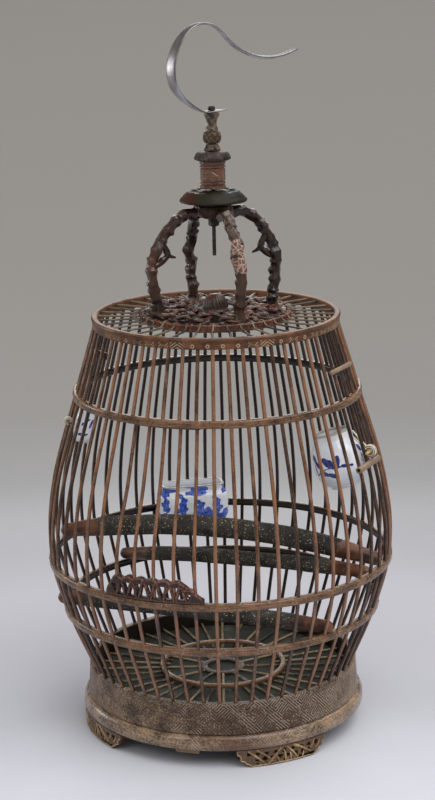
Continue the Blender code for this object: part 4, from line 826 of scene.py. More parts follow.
@dataclass(frozen=True)
class GritFinish(Finish):
    """Branch coated with grit between two lacquered ends."""

    end_length: float
    other_end: float
    grit: tuple[Colour, Colour] = (rgb(19, 17, 15), rgb(76, 70, 62))
    pale: Colour = rgb(206, 200, 180)
    yellow: Colour = rgb(190, 166, 92)
    lacquer: tuple[Colour, Colour] = (rgb(108, 66, 42), rgb(52, 30, 22))

    def material(self) -> bpy.types.Material:
        """Build the material: grey-black grit with pale and yellow grains, and lacquer at both ends.

        Returns:
            The material.
        """
        sheet = self.sheet()
        place = sheet.solid()
        along, _ = sheet.run()
        grain = sheet.noise(place, 0.0011, 5.0, 0.8)
        broad = sheet.noise(place, 0.012, 3.0)
        coat = sheet.mix(sheet.spread(grain + broad * 0.4, 0.55, 0.85), *self.grit)
        pale = sheet.spread(sheet.cells(place, 0.0022), 0.27, 0.13)
        pale = pale * sheet.spread(sheet.noise(place, 0.006, 2.0), 0.4, 0.62)
        warm = sheet.spread(sheet.cells(sheet.solid((1.0, 1.3, 0.9)), 0.0048), 0.15, 0.09)
        coat = sheet.mix(pale * 0.9, coat, self.pale)
        coat = sheet.mix(warm * 0.8, coat, self.yellow)
        ragged = along + (broad - 0.5) * 0.02
        start = sheet.spread(ragged, self.end_length * 0.85, self.end_length * 1.1, 1.0, 0.0)
        bare = start.most(sheet.spread(ragged, self.other_end * 0.99, self.other_end * 1.01))
        colour = sheet.mix(bare, coat, sheet.mix(sheet.spread(broad, 0.35, 0.65), *self.lacquer))
        height = (grain * 0.0009 + pale * 0.0002) * (1.0 - bare * 0.9)
        return sheet.finish(height, Base_Color=colour, Roughness=sheet.blend(bare, 0.86, 0.36))


@dataclass(frozen=True)
class BoneFinish(Finish):
    """Turned bone with painted shade in its turned rings."""

    pale: Colour = rgb(224, 218, 200)
    aged: Colour = rgb(190, 176, 148)
    # Colour of the painted shade in the turned rings.
    groove_shade: Colour = rgb(58, 50, 38)

    def material(self) -> bpy.types.Material:
        """Build the material, pale on the crests and darker in the turned rings, a painted shade.

        Returns:
            The material.
        """
        sheet = self.sheet()
        flecks = sheet.spread(sheet.noise(sheet.solid(), 0.0012, 3.0), 0.4, 0.7)
        colour = sheet.mix(flecks * 0.5, self.pale, self.aged)
        colour = sheet.mix(sheet.spread(sheet.value_of(SHADE_AND_BARE), 0.3, 0.8), colour, self.groove_shade)
        return sheet.finish(flecks * 0.00004, Base_Color=colour, Roughness=sheet.blend(flecks, 0.3, 0.5))


@dataclass(frozen=True)
class BoardFinish(Finish):
    """Painted board of the tray, scuffed and dusty."""

    paint: tuple[Colour, Colour] = (rgb(30, 32, 26), rgb(50, 53, 44))
    scuff: Colour = rgb(108, 106, 94)

    def material(self) -> bpy.types.Material:
        """Build the material, dark green-grey paint with pale scuffs.

        Returns:
            The material.
        """
        sheet = self.sheet()
        broad = sheet.noise(sheet.solid(), 0.03, 4.0, 0.6)
        fine = sheet.noise(sheet.solid((0.2, 1.0, 1.0)), 0.0016, 4.0)
        colour = sheet.mix(sheet.spread(broad, 0.3, 0.7), *self.paint)
        colour = sheet.mix(sheet.spread(broad * fine, 0.27, 0.4) * 0.35, colour, self.scuff)
        return sheet.finish(fine * 0.00012, Base_Color=colour, Roughness=sheet.blend(broad, 0.5, 0.85))


# In each wood recipe, the colour given for painted shade darkens its cuts and the sides that its mesh marks.
RECIPES: tuple[Finish, ...] = (
    WoodFinish(
        "red_bamboo", rgb(54, 34, 22), rgb(136, 94, 67), dust=rgb(150, 128, 106), painted_shade=rgb(12, 7, 5),
        dust_share=0.22, gloss=(0.22, 0.46), coat=0.2, speckle=0.4,
    ),
    WoodFinish(
        "hoop_bamboo", rgb(56, 38, 25), rgb(130, 94, 65), dust=rgb(146, 130, 112), painted_shade=rgb(12, 8, 5),
        dust_share=0.34, gloss=(0.2, 0.5), speckle=0.5,
    ),
    WoodFinish(
        "rim_engraving", rgb(56, 34, 22), rgb(122, 80, 52), dust=rgb(182, 160, 132), dust_share=0.1,
        gloss=(0.34, 0.6), coat=0.0, specular=0.34, speckle=0.4, cut=Cut.SCATTER, cut_pitch=0.0025,
        cut_depth=0.0002, cut_level=0.0073, chalk_highlight_from=0.14, chalk=0.9,
    ),
    WoodFinish(
        "khaki_engraving", rgb(48, 34, 24), rgb(136, 109, 81), dust=rgb(190, 172, 148), painted_shade=rgb(16, 10, 7),
        dust_share=0.06, gloss=(0.34, 0.65), coat=0.04, specular=0.36, speckle=1.1, stipple=0.5, cut=Cut.FRET,
        cut_pitch=0.0030, cut_depth=0.0004, chalk=0.6, chalk_highlight_from=0.24, blush=rgb(50, 29, 21),
        blush_place=(0.034, -0.110, 0.045), blush_reach=0.15,
    ),
    WoodFinish(
        "khaki_wood", rgb(60, 45, 33), rgb(150, 124, 98), dust=rgb(192, 176, 154), dust_share=0.12,
        gloss=(0.2, 0.5), coat=0.35, speckle=0.9, stipple=0.2, relief=0.0001, cut=Cut.FRET, cut_pitch=0.0029,
        cut_depth=0.0001, chalk=0.7, bare_share=0.5, blush=rgb(84, 52, 34),
    ),
    WoodFinish(
        "foot_ground", rgb(76, 55, 36), rgb(138, 106, 72), dust=rgb(168, 146, 116), dust_share=0.16,
        grain=Grain.SOLID, speckle=0.9,
    ),
    # The plaque's ground, darker than the carved relief on it: a painted shade round the raised carving and
    # in the holes.
    WoodFinish(
        "plaque_ground_painted_shade", rgb(34, 17, 11), rgb(88, 48, 34), dust=rgb(122, 106, 94), dust_share=0.2,
        grain=Grain.SOLID, speckle=0.8,
    ),
    WoodFinish(
        "foot_carving", rgb(104, 79, 52), rgb(182, 150, 108), dust=rgb(196, 176, 144), dust_share=0.16,
        gloss=(0.36, 0.65), speckle=0.8,
    ),
    WoodFinish(
        "splint_wood", rgb(46, 35, 24), rgb(112, 92, 67), dust=rgb(150, 140, 124), dust_share=0.2,
        gloss=(0.34, 0.65), speckle=0.6,
    ),
    WoodFinish(
        "floor_splint", rgb(38, 30, 21), rgb(140, 120, 90), dust=rgb(184, 172, 148), dust_share=0.2,
        gloss=(0.4, 0.7), speckle=1.2,
    ),
    WoodFinish(
        "boss_dark", rgb(22, 13, 10), rgb(84, 50, 36), dust=rgb(130, 104, 92), dust_share=0.06,
        gloss=(0.32, 0.5), coat=0.06, speckle=0.6,
    ),
    WoodFinish(
        "carved_red", rgb(58, 28, 18), rgb(132, 76, 52), dust=rgb(138, 118, 102), dust_share=0.22,
        gloss=(0.18, 0.4), coat=0.3, grain=Grain.SOLID, cut=Cut.CARVING, cut_depth=0.00025, chalk=0.2,
    ),
    WoodFinish(
        "petal_red", rgb(60, 31, 20), rgb(112, 66, 44), dust=rgb(132, 112, 90), dust_share=0.14,
        gloss=(0.2, 0.42), speckle=0.5,
    ),
    WoodFinish(
        "crown_dark", rgb(42, 23, 17), rgb(104, 62, 46), dust=rgb(118, 94, 82), dust_share=0.2,
        gloss=(0.32, 0.55), specular=0.34, grain=Grain.SOLID, cut=Cut.CARVING, cut_depth=0.0003, chalk=0.25,
    ),
    WoodFinish(
        "leg_dark", rgb(18, 12, 10), rgb(66, 44, 34), dust=rgb(124, 103, 86), dust_share=0.26,
        gloss=(0.12, 0.32), coat=0.3, grain_pitch=0.0016, relief=0.0003, blush=rgb(84, 48, 34),
        blush_place=(-0.056, -0.022, 0.412), blush_reach=0.019,
    ),
    WoodFinish(
        "barrel_carving", rgb(62, 40, 32), rgb(122, 84, 68), dust=rgb(196, 170, 154), painted_shade=rgb(62, 40, 31),
        dust_share=0.1, speckle=0.9, cut=Cut.CARVING, cut_pitch=0.0017, cut_depth=0.0005, chalk=0.7,
        chalk_highlight_from=-0.5,
    ),
    WoodFinish(
        "drum_red", rgb(82, 46, 33), rgb(146, 98, 74), dust=rgb(166, 142, 120), dust_share=0.14,
        gloss=(0.26, 0.5), speckle=0.8, cut=Cut.CARVING, cut_pitch=0.0011, cut_depth=0.0003, chalk=0.3,
        chalk_highlight_from=0.2,
    ),
    WoodFinish(
        "canopy_dark", rgb(15, 14, 11), rgb(44, 42, 30), dust=rgb(66, 57, 48), dust_share=0.1,
        gloss=(0.34, 0.55), coat=0.0, specular=0.16, grain=Grain.SOLID, relief=0.0001, blush=rgb(66, 30, 24),
        blush_place=(-0.026, -0.012, 0.463), blush_reach=0.026,
    ),
    WoodFinish(
        "disc_grey", rgb(22, 18, 16), rgb(70, 60, 54), dust=rgb(108, 97, 90), dust_share=0.16, speckle=0.6,
        gloss=(0.36, 0.6), coat=0.0, specular=0.16, grain=Grain.SOLID, cut=Cut.CARVING, cut_pitch=0.001,
        cut_depth=0.0002, chalk=0.5,
    ),
    WoodFinish("peg_ends", rgb(40, 25, 17), rgb(84, 56, 38), dust_share=0.1),
    WoodFinish("peg_bamboo", rgb(150, 112, 70), rgb(204, 164, 112), dust_share=0.1, gloss=(0.35, 0.55)),
    WoodFinish(
        "stay_bamboo", rgb(96, 76, 60), rgb(142, 118, 96), painted_shade=rgb(34, 26, 20), dust_share=0.25,
        gloss=(0.4, 0.6),
    ),
    WoodFinish("cane_tie", rgb(62, 50, 40), rgb(116, 102, 84), dust_share=0.2, gloss=(0.36, 0.6)),
    MetalFinish("old_brass", rgb(112, 98, 82), rgb(40, 31, 25), 0.2, (0.16, 0.4), 0.0035, 0.00008),
    MetalFinish("brass_facets", rgb(110, 88, 64), rgb(54, 38, 25), 0.2, (0.16, 0.4), 0.0035, 0.00004, 0.0066),
    MetalFinish("iron", rgb(76, 70, 66), rgb(44, 36, 30), 0.7, (0.35, 0.6), 0.004, 0.00004),
    MetalFinish("steel", rgb(178, 177, 182), rgb(138, 136, 140), 1.0, (0.22, 0.36), 0.014, 0.000012),
    GlazeFinish("porcelain", ink=rgb(26, 32, 88), wash=rgb(64, 76, 146)),
    GlazeFinish("porcelain_blue", ink=rgb(44, 66, 158), wash=rgb(88, 116, 206)), BoneFinish("bone"),
    BoardFinish("tray_paint"),
)


class Finishes:
    """The finishes of the cage, each built when it is first asked for."""

    def __init__(self) -> None:
        """Start with the recipes and no material built."""
        self.recipes = {recipe.name: recipe for recipe in RECIPES}
        self.built: dict[str, bpy.types.Material] = {}

    def get(self, name: str) -> bpy.types.Material:
        """Material of a recipe, built the first time that it is asked for.

        Args:
            name: Name of the recipe.

        Returns:
            The material.
        """
        if name not in self.built:
            self.built[name] = self.recipes[name].material()
        return self.built[name]


@dataclass
class Workshop:
    """Where pieces are finished, joined to their bodies and reported."""

    nodes: dict[str, bpy.types.Object]
    finishes: Finishes = field(default_factory=Finishes)

    def piece(
        self, name: str, shape: Shell | bpy.types.Mesh, finish: str, slot: str, body: str = CAGE,
        replaces: Sequence[str] = (), sharp_deg: float = 40.0,
    ) -> bpy.types.Object:
        """Make one piece of the cage.

        Args:
            name: Its name.
            shape: What was gathered for it, or its mesh.
            finish: Name of its finish.
            slot: Material slot of the record; not used.
            body: CAD body that it rides on.
            replaces: CAD nodes that it stands for.
            sharp_deg: Angle above which an edge stays sharp.

        Returns:
            The object.
        """
        mesh = shape.mesh(name, sharp_deg) if isinstance(shape, Shell) else shape
        mesh.materials.clear()
        mesh.materials.append(self.finishes.get(finish))
        made = add_object(name, mesh)
        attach(made, body)
        if replaces:
            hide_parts(*replaces)
        LOG.info("%s: %d faces, %s, on %s", name, len(mesh.polygons), finish, body)
        return made

    def dress(self, node: str, finish: str, bevel: float = 0.0) -> None:
        """Give a CAD node its finish, and soften its edges.

        Args:
            node: The node's name.
            finish: Name of its finish.
            bevel: Width of the softened edges; none where 0.
        """
        made = self.nodes[node]
        made.data.materials.clear()
        made.data.materials.append(self.finishes.get(finish))
        if bevel:
            modifier = made.modifiers.new("soft_edges", "BEVEL")
            modifier.width = bevel
            modifier.segments = 2
            modifier.limit_method = "ANGLE"
            modifier.angle_limit = math.radians(35)
        LOG.info("%s: CAD node, %s", node, finish)


def pierced_plate(
    name: str, outlines: Sequence[Route], thickness: float, bevel: float, place: Callable[[Vector], Vector],
) -> bpy.types.Mesh:
    """Plate cut from closed outlines, with soft edges, laid onto a curved surface.

    Args:
        name: Name of the mesh.
        outlines: Closed outlines; those inside the first are holes.
        thickness: Thickness of the plate.
        bevel: Width of its soft edges.
        place: Gives a point's place from (along, up, outwards).

    Returns:
        The mesh.
    """
    cell = 0.004
    curve = bpy.data.curves.new(name, "CURVE")
    curve.dimensions = "2D"
    curve.fill_mode = "BOTH"
    curve.extrude = thickness / 2 - bevel
    curve.bevel_depth = bevel
    curve.bevel_resolution = 1
    curve.offset = -bevel
    for outline in outlines:
        spline = curve.splines.new("POLY")
        spline.points.add(len(outline) - 1)
        spline.use_cyclic_u = True
        for point, (x, y) in zip(spline.points, outline):
            point.co = (x, y, 0, 1)
    helper = add_object(name, curve)
    graph = bpy.context.evaluated_depsgraph_get()
    mesh = bpy.data.meshes.new_from_object(helper.evaluated_get(graph), depsgraph=graph)
    bpy.data.objects.remove(helper, do_unlink=True)
    bpy.data.curves.remove(curve)
    made = bmesh.new()
    made.from_mesh(mesh)
    bmesh.ops.remove_doubles(made, verts=made.verts, dist=1e-6)
    low = min(vertex.co.x for vertex in made.verts)
    high = max(vertex.co.x for vertex in made.verts)
    for number in range(1, int((high - low) / cell) + 1):
        geometry = [*made.verts, *made.edges, *made.faces]
        bmesh.ops.bisect_plane(made, geom=geometry, plane_co=(low + number * cell, 0, 0), plane_no=(1, 0, 0))
    for vertex in made.verts:
        vertex.co = place(vertex.co)
    bmesh.ops.recalc_face_normals(made, faces=made.faces)
    made.to_mesh(mesh)
    made.free()
    mesh.shade_smooth()
    mesh.set_sharp_from_angle(angle=math.radians(38))
    return mesh


@dataclass
class CageWall:
    """The upright bars and the three hoops that hold them."""

    shop: Workshop
    bar_count: int = 54
    first_bar_share: float = -0.25
    bar_radius: float = 0.00158
    hoop_size: float = 0.0064
    door_first: int = -5
    door_count: int = 5
    peg_radius: float = 0.0008
    route: tuple[Pair, ...] = (
        (0.1144, 0.0562), (0.1354, 0.1083), (0.1468, 0.1513), (0.14784, 0.18188), (0.14421, 0.21246),
        (0.1209, 0.2969), (0.10355, 0.3546),
    )
    lower: int = 1
    middle: int = 2
    upper: int = 5

    def azimuth(self, index: float) -> float:
        """Azimuth of a bar; halves give the gap between two bars."""
        return -90.0 + 360.0 / self.bar_count * (index + self.first_bar_share)

    def gap(self, index: float) -> float:
        """Azimuth of the middle of a gap."""
        return self.azimuth(index + 0.5)

    def radius_at(self, z: float) -> float:
        """Radius of the bars' centre line at a height."""
        return float(np.interp(z, [corner[1] for corner in self.route], [corner[0] for corner in self.route]))

    def frame(self, azimuth_deg: float, z: float) -> Matrix:
        """Matrix on the wall: X outwards, Y along the hoop, Z up the bar.

        Args:
            azimuth_deg: Azimuth of the place.
            z: Its height.

        Returns:
            The matrix.
        """
        slope = (self.radius_at(z + 0.001) - self.radius_at(z - 0.001)) / 0.002
        lean = Matrix.Rotation(math.atan(slope), 4, "Y")
        return spun(azimuth_deg) @ Matrix.Translation((self.radius_at(z), 0, z)) @ lean

    def bar_line(self, index: float, corners: Route) -> list[Vector]:
        """Centre line of a bar through (radius, height) corners."""
        return [polar(radius, self.azimuth(index), z) for radius, z in smooth_line(corners, 0.006)]

    @staticmethod
    def bar_swell(knot: float, wobble: float) -> Swell:
        """Slight node on a bar, and the bar's own thickness.

        Args:
            knot: Length along the bar at which the node stands.
            wobble: Share by which this bar is thicker.

        Returns:
            The swell, for a rod.
        """

        def swell(along: Array, angle: Array) -> Array:
            """The node, and shallow ridges that turn round the bar."""
            return wobble + 0.10 * bell(along, knot, 0.0012) + 0.02 * np.sin(3 * angle + 90 * along)

        return swell

    def build_bars(self) -> None:
        """Bars from the base band to the top rim, and the short ones under and over the door."""
        chance = random.Random(54)
        walls, above = Shell(), Shell()
        for index in range(self.bar_count):
            tone = chance.uniform(0.1, 0.9)
            swell = self.bar_swell(chance.uniform(0.02, 0.26), chance.uniform(-0.03, 0.03))
            spans = [(walls, self.route)]
            if (index - self.door_first) % self.bar_count < self.door_count:
                spans = [(walls, self.route[: self.middle + 1]), (above, self.route[self.upper :])]
            for shell, corners in spans:
                line = self.bar_line(index, corners)
                # inner_axis paints shade on the side of each bar that faces into the cage.
                shell.rod(line, self.bar_radius, 10, Ends.FLAT, tone=tone, swell=swell, inner_axis=True)
        sectors = [f"wall_sector_{number}" for number in range(1, 10)]
        self.shop.piece("upright_bars", walls, "red_bamboo", "bamboo_bar", replaces=sectors)
        self.shop.piece("bars_over_door", above, "red_bamboo", "bamboo_bar")

    def build_hoop(self, name: str, corner: int, replaces: Sequence[str] = ()) -> None:
        """A hoop at a corner of the wall's route, with small pegs between the bars.

        Args:
            name: Its name.
            corner: Number of the corner.
            replaces: CAD nodes that it stands for.
        """
        circle, z = self.route[corner]
        half = self.hoop_size / 2
        outer = circle + half

        def ripple(angle: Array, radius: Array, height: Array) -> tuple[Array, Array]:
            """Slight unevenness of a hand-bent hoop, kept inside the CAD's."""
            uneven = 0.00012 * np.sin(5 * angle + corner) + 0.00008 * np.sin(13 * angle)
            return radius + uneven - 0.0003, height + uneven * 0.7

        hoop = Shell()
        outline = rounded_box((circle - half, outer), (z - half, z + half), 0.0017)
        # Painted shade on the hoop's inner face, towards the cage's axis.
        hoop.turn(outline, 216, ripple=ripple, shade_and_bare=lambda angle, share: (share > 0.8) | (share < 0.19))
        self.shop.piece(name, hoop, "hoop_bamboo", "hoop_wood", replaces=replaces)
        pegs = Shell()
        for index in range(self.bar_count):
            ends = [polar(outer - inset, self.gap(index), z + 0.0004) for inset in (0.0012, 0.0001)]
            pegs.rod(ends, self.peg_radius, 8, Ends.FLAT, tone=0.1 + 0.5 * (index % 3) / 2)
        self.shop.piece(
            name + "_pegs", pegs, "peg_ends" if corner == self.upper else "hoop_bamboo", "hoop_wood",
        )

    def build(self) -> None:
        """Build the whole wall."""
        self.build_bars()
        self.build_hoop("lower_hoop", self.lower, ["hoop_lower"])
        self.build_hoop("middle_hoop", self.middle)
        self.build_hoop("upper_hoop", self.upper, ["hoop_upper"])


@dataclass
class BaseStand:
    """Foot ring, engraved band, carved feet, tray and floor splints."""

    shop: Workshop
    foot_height: float = 0.0157
    ring_radius: float = 0.1235
    ring_bore: float = 0.1080
    ring_low: float = 0.0160
    ring_high: float = 0.0282
    band_low: Pair = (0.1191, 0.0285)
    band_top: Pair = (0.1175, 0.0558)
    band_bore: float = 0.1113
    splint_z: float = 0.0433
    splint_count: int = 36
    splint_radius: float = 0.0012
    hub_radius: float = 0.0185
    hub_bore: float = 0.0135
    floor_ring_radius: float = 0.0535
    floor_ring_half: float = 0.0023
    floor_ring_z: float = 0.0447
    foot_middle_deg: float = -65.8
    foot_span_deg: float = 39.0
    foot_depth: float = 0.0072
    foot_side: tuple[Pair, ...] = (
        (1.0, 1.0), (1.0, 0.78), (0.955, 0.70), (0.93, 0.55), (0.94, 0.43), (0.905, 0.37), (0.86, 0.34),
        (0.835, 0.25), (0.815, 0.19), (0.77, 0.15), (0.735, 0.06), (0.70, 0.0),
    )
    scrolls: tuple[tuple[Pair, Pair, float], ...] = (
        ((-0.78, 0.95), (-0.40, 0.10), 0.0011), ((-0.60, 0.95), (-0.28, 0.34), 0.0010),
        ((-0.38, 0.06), (-0.08, 0.92), 0.0011), ((0.20, 0.95), (0.62, 0.30), 0.0012),
        ((0.06, 0.90), (0.30, 0.16), 0.0008), ((-0.02, 0.80), (0.02, 0.10), 0.0008),
        ((0.12, 0.55), (0.14, 0.08), 0.0007), ((-0.18, 0.46), (-0.12, 0.08), 0.0007),
        ((-0.28, 0.30), (-0.22, 0.08), 0.0006), ((0.70, 0.90), (0.60, 0.42), 0.0008),
        ((0.44, 0.44), (0.40, 0.12), 0.0006), ((0.86, 0.80), (0.76, 0.40), 0.0007),
    )

    def build_ring_and_band(self) -> None:
        """The moulded foot ring and the engraved band over it."""
        low, high, radius, bore = self.ring_low, self.ring_high, self.ring_radius, self.ring_bore
        outline = [
            (bore, low), (radius - 0.0012, low), (radius - 0.0002, low + 0.0012), (radius, low + 0.0040),
            (radius - 0.0003, low + 0.0072), (radius - 0.0012, low + 0.0096),
            (radius - 0.0026, high - 0.0006), (radius - 0.0040, high), (bore, high),
        ]
        ring = Shell()
        ring.turn(outline, 180)
        self.shop.piece("moulded_foot_ring", ring, "khaki_wood", "base_wood", replaces=["foot_ring"])
        (wide, low), (narrow, top), bore = self.band_low, self.band_top, self.band_bore
        outline = [
            (bore, low), (wide - 0.0006, low), (wide, low + 0.0007), (wide - 0.0002, low + 0.0035),
            (narrow + 0.0001, top - 0.0040), (narrow, top - 0.0009), (narrow - 0.0009, top),
            (bore + 0.0008, top), (bore, top - 0.0008),
        ]
        dense = []
        for first, second in zip(outline, outline[1:] + outline[:1]):
            count = 6 if abs(first[1] - second[1]) > 0.01 else 1
            dense += [
                tuple(np.array(first) + (np.array(second) - first) * step / count) for step in range(count)
            ]
        band = Shell()
        # Painted shade on the band's inner bore face.
        band.turn(dense, 216, shade_and_bare=lambda angle, share: (share > 0.66) | (share < 0.01))
        self.shop.piece("engraved_band", band, "khaki_engraving", "base_wood", replaces=["base_band"])

    def foot_outlines(self) -> list[Route]:
        """Outline and holes of one foot.

        Returns:
            The outlines, as (along, up) from the middle of its lower edge.
        """
        half = self.ring_radius * math.radians(self.foot_span_deg) / 2
        height = self.foot_height
        right = [(half * x, height * y) for x, y in self.foot_side]
        left = [(-x, y) for x, y in reversed(right)]
        sole = [
            (half * x, height * (0.015 + 0.03 * abs(math.sin(x * 9)))) for x in np.linspace(0.62, -0.62, 14)
        ]
        holes = []
        chance = random.Random(7)
        for row, (level, shift, size) in enumerate(
            ((0.72, 0.0, 0.150), (0.42, 0.5, 0.160), (0.19, 0.0, 0.085))
        ):
            for number in range(9 - row):
                middle = (-0.76 + 1.52 * (number + shift) / 8) * (1 - 0.12 * row)
                if abs(middle) > 0.80 - 0.08 * row:
                    continue
                corners = []
                turn = chance.uniform(0, math.tau)
                sides = chance.choice((3, 4, 3))
                for corner in range(sides):
                    angle = turn + math.tau * corner / sides
                    reach = height * size * chance.uniform(0.9, 1.35)
                    x = half * middle + reach * 1.15 * math.cos(angle)
                    corners.append((x, height * level + reach * math.sin(angle)))
                holes.append(rounded(corners, reach * 0.5, 2))
        return [right + sole + left, *holes]

    def build_foot(self, number: int, outlines: Sequence[Route]) -> None:
        """One pierced foot with carved scrolls on its face.

        Args:
            number: The foot's number, from 1.
            outlines: Its outline and holes.
        """
        outer = self.ring_radius - 0.0008
        middle = self.foot_middle_deg + 90.0 * (number - 1)

        def place(x: float, y: float, radius: float = outer) -> Vector:
            """Lay a point of the flat foot on the ring's curve."""
            return polar(radius, middle + math.degrees(x / outer), y)

        start = outer - self.foot_depth / 2
        mesh = pierced_plate(
            f"foot_{number}", outlines, self.foot_depth, 0.0005,
            lambda point: place(point.x, point.y, start + point.z),
        )
        node = f"carved_foot_{number}"
        self.shop.piece(f"pierced_foot_{number}", mesh, "foot_ground", "base_wood", replaces=[node])
        carving = Shell()
        half = outer * math.radians(self.foot_span_deg) / 2
        for scroll, (first, second, girth) in enumerate(self.scrolls):
            ends = [(half * x, self.foot_height * y) for x, y in (first, second)]
            bow = ((ends[0][0] + ends[1][0]) / 2 + 0.0006, (ends[0][1] + ends[1][1]) / 2)
            path = smooth_line([ends[0], bow, ends[1]], 0.0008)
            line = [place(x, min(max(y, 0.0011), self.foot_height - 0.001)) for x, y in path]
            carving.rod(line, leaf_girths(girth, 0.25, 0.85, len(line)), 8, tone=0.3 + 0.04 * (scroll % 7))
        edge = smooth_line([(x, y) for x, y in outlines[0] if y > 0.0006], 0.0008)
        carving.rod(
            [place(x * 0.975, y * 0.9 + 0.0008, outer - 0.0001) for x, y in edge], 0.0005, 8, tone=0.5,
        )
        self.shop.piece(f"foot_scrolls_{number}", carving, "foot_carving", "base_wood")

    def build_floor(self) -> None:
        """Splints fanned from a small hub, and the ring that lies on them."""
        chance = random.Random(36)
        fan, ring = Shell(), Shell()
        middle = self.splint_z
        for splint in range(self.splint_count):
            azimuth = 360.0 * splint / self.splint_count
            start = self.floor_ring_radius - 0.0060 if splint % 3 else self.hub_radius - 0.001
            line = [
                polar(radius, azimuth, middle) for radius in np.linspace(start, self.band_bore - 0.0006, 12)
            ]
            fan.rod(line, self.splint_radius, 8, flat=(1.0, 0.8), up=UP, tone=chance.random())
        hub = rounded_box(
            (self.hub_bore, self.hub_radius + 0.0006), (middle - 0.001, middle + 0.001), 0.0006, 2,
        )
        fan.turn(hub, 72, tone=0.1)
        self.shop.piece("fanned_splints", fan, "floor_splint", "base_wood", replaces=["floor_splints"])
        radius, half, low = self.floor_ring_radius, self.floor_ring_half, self.floor_ring_z
        outline = rounded_box((radius - half, radius + half), (low, low + 0.0032), 0.0011)

        def splice(angle: Array, wide: Array, height: Array) -> tuple[Array, Array]:
            """Dip where the ring's two ends overlap."""
            dip = 0.0007 * bell(angle, math.pi * 1.06, 0.02)
            return wide - dip * np.sign(wide - radius), height - dip * (height > low + 0.0016)

        ring.turn(outline, 180, ripple=splice, tone=0.6)
        self.shop.piece("lying_ring", ring, "hoop_bamboo", "base_wood", replaces=["floor_ring"])

    def build(self) -> None:
        """Build the whole base."""
        self.build_ring_and_band()
        outlines = self.foot_outlines()
        for number in range(1, 5):
            self.build_foot(number, outlines)
        self.build_floor()
        self.shop.dress("floor_tray", "tray_paint")
        self.shop.dress("turn_button", "foot_carving", 0.0004)
        self.shop.dress("button_peg", "splint_wood", 0.0002)


